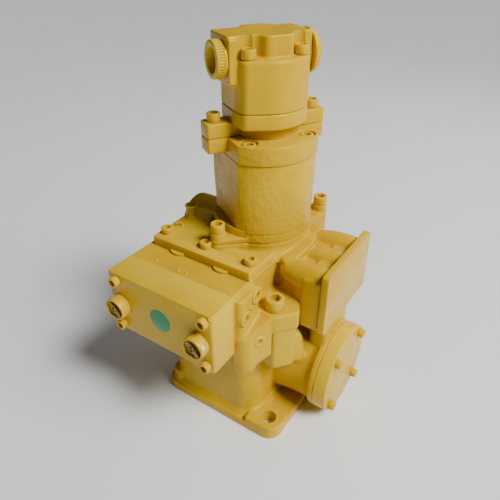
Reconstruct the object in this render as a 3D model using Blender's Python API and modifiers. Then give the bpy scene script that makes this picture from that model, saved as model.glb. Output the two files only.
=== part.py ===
"""Hydraulic axial piston pump with two gear pumps stacked on its through drive.

Metres, +Z up. The origin lies on the drive shaft's axis in the plane of the
mounting face. +X points to the port plate and the round cover, -Y to the
control block.
"""

import math

import bmesh
import bpy
from mathutils import Matrix, Vector

# Clearances
gap = 0.0003
running_gap = 0.0006
bolt_clearance = 0.0004

# Mounting flange
flange_half_x = 0.099
flange_half_y = 0.120
flange_thickness = 0.014
flange_corner = 0.020
flange_edge = 0.0022
bolt_hole_radius = 0.0105
bolt_hole_x = 0.078
bolt_hole_y = 0.100
bolt_hole_depth = 0.030
bolt_post_radius = 0.0140
bolt_post_height = 0.036
pad_height = 0.0085
pad_inner_x = 0.050
pad_inner_y = 0.079
pad_inner_radius = 0.008

# Lower casting
body_left = -0.089
body_right = 0.057
body_front = -0.112
body_back = 0.100
body_corner = 0.028
joint_level = 0.187
foot_flare = 0.005
foot_flare_height = 0.0065
wall_edge = 0.0015

# Neck and round cover on the +X side
neck_radius = 0.0600
neck_rim_radius = 0.0660
neck_rim_length = 0.0075
neck_end = 0.1238
neck_y = 0.002
neck_z = 0.0685
neck_bore_radius = 0.046
round_cover_thickness = 0.0187
round_cover_edge = 0.002
cover_screw_radius = 0.0560
cover_screw_turn = math.radians(41)

# Upper casting
deck_thickness = 0.0686
deck_left = -0.107
deck_right = 0.050
deck_front = -0.140
deck_back = 0.095
deck_corner = 0.010
seat_height = 0.0184
seat_radius = 0.0665
seat_foot_radius = 0.0735
seat_foot_flare = 0.004
front_pad_drop = 0.0160
servo_boss_right = 0.0600
servo_boss_left = 0.030
servo_boss_back = -0.098
servo_boss_drop = 0.045
servo_boss_top = 0.006
servo_boss_corner = 0.0135
servo_end_x = 0.053
servo_end_y = -0.124
servo_end_radius = 0.0155
servo_end_drop = 0.052
arm_x = 0.064
arm_y = -0.134
arm_rise = 0.0087
arm_drop = 0.050
arm_inner_drop = 0.036
shoulder_right = 0.078
shoulder_front = -0.056
shoulder_back = 0.012
shoulder_drop = 0.010
plug_radius = 0.0105
plug_height = 0.0016
plug_socket = 0.0042
plug_places = ((-0.130, 0.0327), (-0.107, 0.0497))

# Port neck and plate
port_half_width = 0.058
port_neck_end = 0.121
port_neck_rise = 0.0507
port_drop = 0.001
hump_radius = 0.022
hump_pitch = 0.036
port_plate_thickness = 0.0093
port_plate_half_width = 0.064
port_plate_drop = 0.006
port_plate_height = 0.085
port_plate_corner = 0.005
port_bore_radius = 0.0155
web_half_width = 0.011
web_drop = 0.069

# Suction neck at the back left
suction_radius = 0.036
suction_bore_radius = 0.025
suction_y = 0.026
suction_rise = 0.0390
suction_end = -0.136

# Lugs that clamp the castings
lug_thickness = 0.026
lug_bolt_x = 0.0728
lug_bolt_y = -0.0864
lug_back_x = -0.030
lug_back_y = 0.110
lug_inner_y = (-0.012, 0.034)
lug_corners = ((0.0092, -0.0176), (0.0309, 0.0089), (0.0172, 0.0264))
lug_corner_radius = 0.007
lug_edge = 0.0025
rib_inner_y = (-0.005, 0.024)
rib_corners = ((0.009, -0.0165), (0.030, 0.0092), (0.010, 0.024))
arm_corner = (0.0075, -0.0150)
post_radius = 0.0170
post_length = 0.055
post_rise = 0.067
lug_reach = 0.020

# Control block
control_left = -0.107
control_right = 0.0505
control_depth = 0.041
control_drop = 0.018
control_chamfer = 0.004
control_screw_x = (-0.0935, 0.040)
control_screw_low = 0.0095
control_screw_high = 0.0097
cap_x = (-0.0906, 0.031)
cap_rise = 0.0412
cap_radius = 0.015
cap_length = 0.0140
cap_recess = 0.0035
spool_radius = 0.0070
spool_length = 0.046
spool_travel = 0.003

# Plate on the deck
plate_left = -0.100
plate_right = 0.050
plate_front = -0.1075
plate_back = -0.014
plate_thickness = 0.0124
plate_clearance = 0.001
plate_boss_radius = 0.0155
plate_boss_x = (-0.060, 0.008)
plate_screw_y = -0.0905
plate_screw_x = (-0.090, -0.0265, 0.040)

# Hollow plug
hollow_plug_x = -0.090
hollow_plug_y = -0.040
hollow_plug_radius = 0.0085
hollow_plug_bore = 0.0058
hollow_plug_height = 0.018

# Middle pump
mid_turn = math.radians(58)
mid_flange_thickness = 0.0135
mid_flange_radius = 0.0625
mid_radius = 0.0646
mid_flat = 0.054
mid_height = 0.1030
mid_cover_thickness = 0.0220
mid_cover_radius = 0.0660
mid_lug_radius_from_axis = 0.0799
mid_lug_angles = (math.radians(258.5), math.radians(45.6))
mid_lug_half_width = 0.0105
mid_lug_reach = 0.0075
mid_cover_bolt_radius = 0.053
mid_cover_bolt_angles = (math.radians(-76), math.radians(14))

# Gear pump on top
ear_thickness = 0.0170
ear_bolt_u = 0.0640
ear_half_width = 0.0125
ear_reach = 0.0125
top_neck_radius = 0.0440
top_neck_height = 0.0130
top_half_width = 0.0460
top_radius = 0.0500
top_height = 0.0740
top_band_height = 0.0180
top_cover_thickness = 0.0220
top_cover_left = -0.055
top_cover_right = 0.0452
top_cover_half_depth = 0.0245
top_cover_boss_reach = 0.0375
top_cover_boss_half = 0.0150
cheek_drop = 0.0280
top_screw_u = (-0.034, 0.0285)
top_screw_v = -0.0300
collar_v = -0.008
collar_drop = 0.002
collar_radius = 0.0198
collar_length = 0.0120
collar_bore = 0.0130
dome_radius = 0.0245
dome_length = 0.0120

# Screws: head radius, head height, shank radius, socket across flats
screw_m8 = (0.0065, 0.0080, 0.0040, 0.0060)
screw_m10 = (0.0080, 0.0100, 0.0050, 0.0080)
screw_m12 = (0.0090, 0.0120, 0.0060, 0.0100)
screw_m16 = (0.0120, 0.0160, 0.0080, 0.0140)
thread_reach = 1.5

# Shaft line
shaft_end_level = 0.0020
shaft_radius = 0.0150
upper_shaft_radius = 0.0090
seal_radius = 0.0250
seal_level = 0.0060
seal_thickness = 0.0080
bearing_radius = 0.0310
bearing_thickness = 0.0160
bearing_level = 0.0160
rear_bearing_radius = 0.0260
rear_bearing_thickness = 0.0150

# Rotating group
cavity_floor = 0.0360
swash_face = 0.085
swash_thickness = 0.0100
swash_bore = 0.0200
pivot_inset = 0.0005
swash_tilt = math.radians(15)
swash_arm_half_width = 0.009
ledge_half_width = 0.014
piston_count = 9
piston_pitch_radius = 0.0320
piston_radius = 0.0080
slipper_radius = 0.0095
slipper_rim = 0.0015
barrel_wall = 0.005
barrel_room = 0.004
slipper_thickness = 0.0030
piston_neck_radius = 0.0045
piston_neck_length = 0.0040
barrel_end_wall = 0.0040
kidney_radius = 0.0035
kidney_angle = math.radians(110)
valve_plate_room = 0.002
valve_plate_thickness = 0.0084
valve_plate_bore = 0.0200
retainer_thickness = 0.0024

# Servo piston
servo_radius = 0.0090
servo_wall = 0.004
servo_ball_radius = 0.0060
servo_length = 0.050

# Gears
tooth_count = 12
pressure_angle = math.radians(25)
addendum_share = 0.8
dedendum_share = 1.05
backlash = 0.0005
mid_centre_distance = 0.032
mid_gear_width = 0.036
mid_gear_direction = math.radians(130)
top_centre_distance = 0.028
top_gear_width = 0.030
idler_pin_radius = 0.0075
idler_pin_length = 0.012
shaft_tail = 0.012

# Levels that follow from the sizes above
upper_base = joint_level + gap
deck_level = upper_base + deck_thickness
seat_level = deck_level + seat_height
mid_base = seat_level + gap
mid_flange_top = mid_base + mid_flange_thickness
mid_top = mid_base + mid_height
mid_cover_base = mid_top + gap
mid_cover_top = mid_cover_base + mid_cover_thickness
top_base = mid_cover_top + gap
top_body_base = top_base + top_neck_height
top_split = top_body_base + top_band_height
top_body_top = top_body_base + top_height
top_cover_top = top_body_top + top_cover_thickness
port_axis_level = top_body_top - collar_drop
hump_level = upper_base + port_neck_rise
port_plate_low = joint_level - port_plate_drop
suction_level = upper_base + suction_rise
control_base = upper_base - control_drop
cap_z = control_base + cap_rise
control_back = deck_front - gap
control_front = control_back - control_depth
swash_radius = piston_pitch_radius + slipper_radius + slipper_rim
barrel_radius = piston_pitch_radius + piston_radius + barrel_wall
cavity_radius = barrel_radius + barrel_room
valve_plate_radius = cavity_radius - valve_plate_room
swash_pivot_y = piston_pitch_radius + slipper_radius - pivot_inset
servo_y = -(barrel_radius + servo_radius + servo_wall)
slipper_base = swash_face + gap
slipper_top = slipper_base + slipper_thickness
piston_travel = (swash_pivot_y + piston_pitch_radius) * math.tan(swash_tilt)
barrel_base = slipper_top + piston_travel + running_gap
valve_plate_base = joint_level - valve_plate_thickness
barrel_top = valve_plate_base - gap
bore_top = barrel_top - barrel_end_wall
piston_top = bore_top - piston_travel - running_gap
mid_gear_base = mid_top - mid_gear_width - gap
top_gear_base = top_split + 2 * gap

yellow = (0.60, 0.39, 0.055, 1.0)
paint_look = (yellow, 0.35, 0.0)
steel_look = ((0.42, 0.42, 0.43, 1.0), 0.3, 1.0)
dark_steel_look = ((0.16, 0.16, 0.17, 1.0), 0.4, 1.0)
bronze_look = ((0.50, 0.30, 0.13, 1.0), 0.35, 1.0)
rubber_look = ((0.02, 0.02, 0.02, 1.0), 0.7, 0.0)

round_steps = 28
bore_steps = 20
small_steps = 8
head_steps = 8
shank_steps = 6


def empty_scene():
    for obj in list(bpy.data.objects):
        bpy.data.objects.remove(obj, do_unlink=True)


def new_collection(name):
    collection = bpy.data.collections.new(name)
    bpy.context.scene.collection.children.link(collection)
    return collection


empty_scene()
parts = new_collection("hydraulic_pump")
tools = new_collection("hydraulic_pump_tools")


def add_tool(name, data):
    obj = bpy.data.objects.new(name, data)
    tools.objects.link(obj)
    obj.hide_render = True
    obj.display_type = "WIRE"
    return obj


def turn_to(direction):
    return Vector((0, 0, 1)).rotation_difference(Vector(direction)).to_matrix().to_4x4()


def baked(obj):
    depsgraph = bpy.context.evaluated_depsgraph_get()
    mesh = bpy.data.meshes.new_from_object(obj.evaluated_get(depsgraph), depsgraph=depsgraph)
    mesh.transform(obj.matrix_world)
    return mesh


def settle(obj):
    # Replaces an object by the mesh its modifiers make, in world coordinates.
    bpy.context.view_layer.update()
    mesh = baked(obj)
    solid = add_tool(obj.name, mesh)
    bpy.data.objects.remove(obj, do_unlink=True)
    return solid


def weld(obj):
    bm = bmesh.new()
    bm.from_mesh(obj.data)
    bmesh.ops.remove_doubles(bm, verts=bm.verts, dist=0.00001)
    bmesh.ops.holes_fill(bm, edges=bm.edges, sides=0)
    bmesh.ops.dissolve_limit(bm, angle_limit=0.002, verts=bm.verts, edges=bm.edges)
    bmesh.ops.recalc_face_normals(bm, faces=bm.faces)
    bm.to_mesh(obj.data)
    bm.free()
    return obj


def soften(obj, width, segments=1):
    if width <= 0:
        return obj
    bevel = obj.modifiers.new("edge", "BEVEL")
    bevel.width = width
    bevel.segments = segments
    bevel.limit_method = "ANGLE"
    bevel.angle_limit = math.radians(40)
    return settle(obj)


def flat_shape(outlines, low, high, edge=0.0, segments=1):
    # A flat outline, with any holes, raised from one level to another.
    curve = bpy.data.curves.new("outline", "CURVE")
    curve.dimensions = "2D"
    curve.fill_mode = "BOTH" if len(outlines) > 1 else "NONE"
    curve.resolution_u = 1
    curve.render_resolution_u = 0
    curve.extrude = (high - low) / 2
    for outline in outlines:
        spline = curve.splines.new("POLY")
        spline.points.add(len(outline) - 1)
        for point, (x, y) in zip(spline.points, outline):
            point.co = (x, y, 0, 1)
        spline.use_cyclic_u = True
    obj = add_tool("outline", curve)
    obj.location.z = (low + high) / 2
    return soften(weld(settle(obj)), edge, segments)


def turned(profile, centre, direction=(0, 0, 1), steps=round_steps, closed=False):
    # Radius and height pairs that run down the outer side, turned about an axis.
    mesh = bpy.data.meshes.new("profile")
    points = [(radius, 0, height) for radius, height in profile]
    edges = [(i, i + 1) for i in range(len(points) - 1)]
    if closed:
        edges.append((len(points) - 1, 0))
    mesh.from_pydata(points, edges, [])
    obj = add_tool("profile", mesh)
    screw = obj.modifiers.new("turn", "SCREW")
    screw.steps = steps
    screw.render_steps = steps
    screw.use_merge_vertices = True
    screw.merge_threshold = 0.00001
    obj.matrix_world = Matrix.Translation(centre) @ turn_to(direction)
    return weld(settle(obj))


def rod(start, direction, radius, length, steps=round_steps, edge=0.0):
    # A plain round bar, with a small chamfer where an edge is given.
    if edge > 0:
        profile = [(0, length), (radius - edge, length), (radius, length - edge)]
        profile += [(radius, edge), (radius - edge, 0), (0, 0)]
        return turned(profile, start, direction, steps)
    return turned([(0, length), (radius, length), (radius, 0), (0, 0)], start, direction, steps)


def ring(start, direction, outer, inner, length, steps=round_steps):
    profile = [(outer, length), (outer, 0), (inner, 0), (inner, length)]
    return turned(profile, start, direction, steps, closed=True)


def block(low, high, edge=0.0, segments=1):
    size = [b - a for a, b in zip(low, high)]
    centre = [(a + b) / 2 for a, b in zip(low, high)]
    bm = bmesh.new()
    matrix = Matrix.Translation(centre) @ Matrix.Diagonal((*size, 1))
    bmesh.ops.create_cube(bm, size=1, matrix=matrix)
    mesh = bpy.data.meshes.new("block")
    bm.to_mesh(mesh)
    bm.free()
    return soften(add_tool("block", mesh), edge, segments)


def rounded(corners, radius, steps=4):
    # A polygon with each corner replaced by an arc, walked in one direction.
    outline = []
    count = len(corners)
    for i in range(count):
        corner = Vector(corners[i][:2])
        to_last = Vector(corners[i - 1][:2]) - corner
        to_next = Vector(corners[(i + 1) % count][:2]) - corner
        own = corners[i][2] if len(corners[i]) > 2 else radius
        half = to_last.angle(to_next) / 2
        reach = min(own / math.tan(half), 0.49 * to_last.length, 0.49 * to_next.length)
        own = reach * math.tan(half)
        if own < 0.0002:
            outline.append(tuple(corner))
            continue
        first = corner + to_last.normalized() * reach
        last = corner + to_next.normalized() * reach
        middle = (to_last.normalized() + to_next.normalized()).normalized()
        centre = corner + middle * (own / math.sin(half))
        start = first - centre
        sweep = start.angle_signed(last - centre)
        for k in range(steps + 1):
            turn = Matrix.Rotation(-sweep * k / steps, 2)
            outline.append(tuple(centre + turn @ start))
    return outline


def rectangle(left, right, front, back, radius=0.0, steps=4):
    corners = [(left, front), (right, front), (right, back), (left, back)]
    return rounded(corners, radius, steps)


def circle(centre, radius, steps=small_steps):
    points = []
    for i in range(steps):
        angle = 2 * math.pi * i / steps
        points.append((centre[0] + radius * math.cos(angle), centre[1] + radius * math.sin(angle)))
    return points


def arc(radius, start, end, steps):
    points = []
    for i in range(steps + 1):
        angle = start + (end - start) * i / steps
        points.append((radius * math.cos(angle), radius * math.sin(angle)))
    return points


def slanted(points, edge):
    # The solid that spans a set of corners.
    bm = bmesh.new()
    for point in points:
        bm.verts.new(point)
    bmesh.ops.convex_hull(bm, input=bm.verts)
    bmesh.ops.dissolve_limit(bm, angle_limit=0.01, verts=bm.verts, edges=bm.edges)
    mesh = bpy.data.meshes.new("slanted")
    bm.to_mesh(mesh)
    bm.free()
    return soften(add_tool("slanted", mesh), edge)


def combine(target, tool, operation):
    boolean = target.modifiers.new(operation.lower(), "BOOLEAN")
    boolean.operation = operation
    boolean.solver = "EXACT"
    boolean.object = tool
    return settle(target)


def join(target, *others):
    for other in others:
        target = combine(target, other, "UNION")
    return target


def cut(target, *others):
    for other in others:
        target = combine(target, other, "DIFFERENCE")
    return target


def material(name, look):
    found = bpy.data.materials.get(name)
    if found:
        return found
    made = bpy.data.materials.new(name)
    made.use_nodes = True
    shader = made.node_tree.nodes["Principled BSDF"]
    shader.inputs["Base Color"].default_value = look[0]
    shader.inputs["Roughness"].default_value = look[1]
    shader.inputs["Metallic"].default_value = look[2]
    return made


def turn_z(obj, angle):
    obj.matrix_world = Matrix.Rotation(angle, 4, "Z") @ obj.matrix_world
    bpy.context.view_layer.update()
    return settle(obj)


def finish(name, obj, look, origin=(0, 0, 0)):
    # Cleans the mesh, gives it its own material and puts its origin in place.
    bm = bmesh.new()
    bm.from_mesh(obj.data)
    bmesh.ops.remove_doubles(bm, verts=bm.verts, dist=0.000005)
    bmesh.ops.dissolve_degenerate(bm, edges=bm.edges, dist=0.000005)
    bmesh.ops.dissolve_limit(bm, angle_limit=0.002, verts=bm.verts, edges=bm.edges)
    bmesh.ops.triangulate(bm, faces=bm.faces)
    bm.to_mesh(obj.data)
    bm.free()
    mesh = obj.data
    mesh.transform(Matrix.Translation(-Vector(origin)))
    mesh.materials.clear()
    mesh.materials.append(material(name, look))
    for face in mesh.polygons:
        face.material_index = 0
    mesh.shade_smooth()
    mesh.set_sharp_from_angle(angle=math.radians(32))
    part = bpy.data.objects.new(name, mesh)
    part.location = origin
    parts.objects.link(part)
    bpy.data.objects.remove(obj, do_unlink=True)
    return part


def screw_shape(point, direction, size, grip):
    # A socket head screw whose head seats at the point and whose shank goes in.
    head_radius, head_height, shank_radius, flats = size
    length = grip + thread_reach * shank_radius * 2
    edge = head_radius * 0.12
    outward = Vector(direction)
    seat = Vector(point) + outward * gap
    profile = [(0, head_height), (head_radius - edge, head_height)]
    profile += [(head_radius, head_height - edge), (head_radius, 0), (0, 0)]
    head = turned(profile, seat, outward, head_steps)
    overlap = head_height * 0.2
    start = seat - outward * length
    shank = rod(start, outward, shank_radius, length + overlap, shank_steps)
    socket_radius = flats / 2 / math.cos(math.pi / 6)
    start = seat + outward * head_height * 0.45
    socket = rod(start, outward, socket_radius, head_height, 6)
    return cut(join(head, shank), socket)


def screw_hole(point, direction, size, grip):
    # The hole that the screw's shank runs in.
    length = grip + thread_reach * size[2] * 2 + running_gap
    start = Vector(point) - Vector(direction) * length
    radius = size[2] + bolt_clearance
    return rod(start, direction, radius, length + running_gap, shank_steps)


def gear_outline(centre_distance, phase):
    pitch = centre_distance / 2
    module = centre_distance / tooth_count
    base = pitch * math.cos(pressure_angle)
    tip = pitch + addendum_share * module
    root = pitch - dedendum_share * module
    involute = math.tan(pressure_angle) - pressure_angle
    half_tooth = math.pi / (2 * tooth_count) - backlash / (2 * pitch)
    start = max(base, root)
    flank = []
    for i in range(2):
        radius = start + (tip - start) * i
        slope = math.acos(min(1.0, base / radius))
        flank.append((radius, half_tooth + involute - (math.tan(slope) - slope)))
    outline = []
    for tooth in range(tooth_count):
        middle = phase + 2 * math.pi * tooth / tooth_count
        side = [(root, flank[0][1] * 1.12)] + flank
        for radius, angle in side:
            outline.append((radius, middle - angle))
        for radius, angle in reversed(side):
            outline.append((radius, middle + angle))
    return [(radius * math.cos(angle), radius * math.sin(angle)) for radius, angle in outline]


def kidney(radius, half_width, centre_angle, spread, steps=6):
    # A curved slot about the shaft's axis.
    outer = arc(radius + half_width, centre_angle - spread / 2, centre_angle + spread / 2, steps)
    inner = arc(radius - half_width, centre_angle + spread / 2, centre_angle - spread / 2, steps)
    return outer + inner


def around(radius, angle, level):
    return (radius * math.cos(angle), radius * math.sin(angle), level)


# Screw places shared by the pieces they hold
cover_screw_points = []
for i in range(4):
    angle = cover_screw_turn + i * math.pi / 2
    y = neck_y + cover_screw_radius * math.cos(angle)
    z = neck_z + cover_screw_radius * math.sin(angle)
    cover_screw_points.append((neck_end + gap + round_cover_thickness, y, z))

control_screw_points = []
for x in control_screw_x:
    for z in (control_base + control_screw_low, deck_level - control_screw_high):
        control_screw_points.append((x, control_front, z))

plate_top = deck_level + gap + plate_thickness
plate_screw_points = [(x, plate_screw_y, plate_top) for x in plate_screw_x]

lug_points = [
    (lug_bolt_x, lug_bolt_y, upper_base + lug_thickness),
    (lug_back_x, lug_back_y, upper_base + lug_thickness),
]

mid_lug_points = [
    around(mid_lug_radius_from_axis, angle, mid_flange_top) for angle in mid_lug_angles
]

mid_cover_bolt_depth = screw_m10[1] + 0.001
mid_cover_bolt_points = [
    around(mid_cover_bolt_radius, angle, mid_cover_top - mid_cover_bolt_depth)
    for angle in mid_cover_bolt_angles
]

ear_top = top_base + ear_thickness
ear_points = [
    around(ear_bolt_u, mid_turn + math.pi, ear_top),
    around(ear_bolt_u, mid_turn, ear_top),
]


def top_place(u, v, level):
    point = Matrix.Rotation(mid_turn, 3, "Z") @ Vector((u, v, level))
    return tuple(point)


top_screw_points = [top_place(u, top_screw_v, top_body_top) for u in top_screw_u]
top_screw_grip = top_body_top - top_split

up = (0, 0, 1)
out_x = (1, 0, 0)
out_front = (0, -1, 0)
plate_grip = plate_thickness + gap


def lug_solid(x, y, low, high, room=0.0):
    # The lug round a bolt of the middle pump, pointing away from the axis.
    reach = mid_lug_reach + room
    half = mid_lug_half_width + room
    outline = rectangle(-0.03, reach, -half, half, 0.006, 4)
    solid = flat_shape([outline], low, high, 0.0015 if room == 0 else 0)
    turn = Matrix.Rotation(math.atan2(y, x), 4, "Z")
    solid.matrix_world = Matrix.Translation((x, y, 0)) @ turn
    return settle(solid)


def rib_outline(room=0.0):
    # The upright rib under the front lug, wider by the room asked for.
    inner = body_right - 0.02
    first, second, third = [(lug_bolt_x + x, lug_bolt_y + y) for x, y in rib_corners]
    return rounded(
        [
            (inner, lug_bolt_y + rib_inner_y[0] - room, 0),
            (first[0] + room, first[1] - room),
            (second[0] + room, second[1]),
            (third[0] + room, third[1] + room),
            (inner, lug_bolt_y + rib_inner_y[1] + room, 0),
        ],
        lug_corner_radius,
        3,
    )


# Lower casting
def make_housing():
    outline = rectangle(
        -flange_half_x, flange_half_x, -flange_half_y, flange_half_y, flange_corner, 4
    )
    shell = flat_shape([outline], 0, flange_thickness + pad_height, flange_edge)
    beyond = 2 * flange_half_y
    relief = rounded(
        [
            (-beyond, -beyond),
            (pad_inner_x, -beyond),
            (pad_inner_x, -pad_inner_y, pad_inner_radius),
            (beyond, -pad_inner_y),
            (beyond, pad_inner_y),
            (pad_inner_x, pad_inner_y, pad_inner_radius),
            (pad_inner_x, beyond),
            (-beyond, beyond),
        ],
        0,
        3,
    )
    shell = cut(shell, flat_shape([relief], flange_thickness, flange_thickness + 2 * pad_height))
    body = rectangle(body_left, body_right, body_front, body_back, body_corner, 5)
    middle = flange_thickness / 2
    shell = join(shell, flat_shape([body], middle, joint_level, wall_edge))
    flare = rectangle(
        body_left - foot_flare,
        body_right + foot_flare,
        body_front - foot_flare,
        body_back + foot_flare,
        body_corner + foot_flare,
        5,
    )
    foot_top = flange_thickness + foot_flare_height
    shell = join(shell, flat_shape([flare], middle, foot_top, foot_flare * 0.9))
    for side in (-1, 1):
        start = (-bolt_hole_x, side * bolt_hole_y, middle)
        length = bolt_post_height - middle
        shell = join(shell, rod(start, up, bolt_post_radius, length, bore_steps, wall_edge))
    neck_start = neck_end - neck_rim_length
    profile = [
        (0, 0),
        (neck_rim_radius, 0),
        (neck_rim_radius, -neck_rim_length),
        (neck_radius + 0.002, -neck_rim_length - 0.010),
        (neck_radius, -neck_rim_length - 0.024),
        (neck_radius - 0.002, -neck_end + body_right * 0.5),
        (0, -neck_end + body_right * 0.5),
    ]
    shell = join(shell, turned(profile, (neck_end, neck_y, neck_z), out_x))
    post = [
        (0, 0),
        (post_radius - wall_edge, 0),
        (post_radius, -wall_edge),
        (post_radius, -post_length + 0.006),
        (post_radius - 0.006, -post_length),
        (0, -post_length),
    ]
    shell = join(shell, turned(post, (lug_back_x, lug_back_y, joint_level), up, 14))
    low = joint_level - post_rise
    shell = join(shell, flat_shape([rib_outline()], low, joint_level, wall_edge))
    web = block(
        (body_right - 0.01, neck_y - web_half_width, joint_level - web_drop),
        (neck_start - 0.012, neck_y + web_half_width, joint_level - wall_edge),
        0.003,
    )
    shell = join(shell, web)

    # Inner space for the rotating group, the servo piston and the round cover
    ledge_top = swash_face - swash_thickness - gap
    cavity = rod((0, 0, cavity_floor), up, cavity_radius, joint_level, 28)
    ledge = block(
        (-ledge_half_width, swash_pivot_y, cavity_floor - 0.01),
        (ledge_half_width, cavity_radius + 0.01, ledge_top),
    )
    cavity = cut(cavity, ledge)
    neck_bore = rod((0.01, neck_y, neck_z), out_x, neck_bore_radius, neck_end, 24)
    cut_back = block(
        (-0.2, -cavity_radius - 0.02, cavity_floor - 0.02),
        (0.022, cavity_radius + 0.02, joint_level + 0.01),
    )
    neck_bore = cut(neck_bore, cut_back)
    low_side = block(
        (-0.01, -0.2, -0.1),
        (cavity_radius + 0.012, 0.2, cavity_floor + 0.0005),
    )
    neck_bore = cut(neck_bore, low_side)
    servo_bore = rod(
        (0, servo_y, swash_face), up, servo_radius + gap, joint_level, small_steps
    )
    arm_drop = (swash_pivot_y - servo_y + servo_radius) * math.sin(swash_tilt)
    arm_room = block(
        (
            -swash_arm_half_width - 0.002,
            servo_y - servo_radius - 0.003,
            swash_face - swash_thickness - arm_drop - 0.004,
        ),
        (
            swash_arm_half_width + 0.002,
            -cavity_radius + 0.012,
            swash_face + servo_ball_radius * 2,
        ),
    )
    shell = cut(shell, cavity, neck_bore, servo_bore, arm_room)
    bore = [
        (0, swash_face),
        (shaft_radius + 0.004, swash_face),
        (shaft_radius + 0.004, cavity_floor + 0.001),
        (bearing_radius + gap, cavity_floor + 0.001),
        (bearing_radius + gap, bearing_level - gap),
        (shaft_radius + 0.004, bearing_level - gap),
        (shaft_radius + 0.004, seal_level + seal_thickness + gap),
        (seal_radius + gap, seal_level + seal_thickness + gap),
        (seal_radius + gap, -0.001),
        (0, -0.001),
    ]
    shell = cut(shell, turned(bore, (0, 0, 0), up, bore_steps))
    for side_x in (-1, 1):
        for side_y in (-1, 1):
            start = (side_x * bolt_hole_x, side_y * bolt_hole_y, -0.01)
            depth = 0.01 + (bolt_hole_depth if side_x < 0 else 2 * bolt_hole_depth)
            shell = cut(shell, rod(start, up, bolt_hole_radius, depth, 14))
    for point in cover_screw_points:
        shell = cut(shell, screw_hole(point, out_x, screw_m8, round_cover_thickness + gap))
    for point in lug_points:
        shell = cut(shell, screw_hole(point, up, screw_m16, lug_thickness + gap))
    finish("pump_housing", shell, paint_look)


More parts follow.
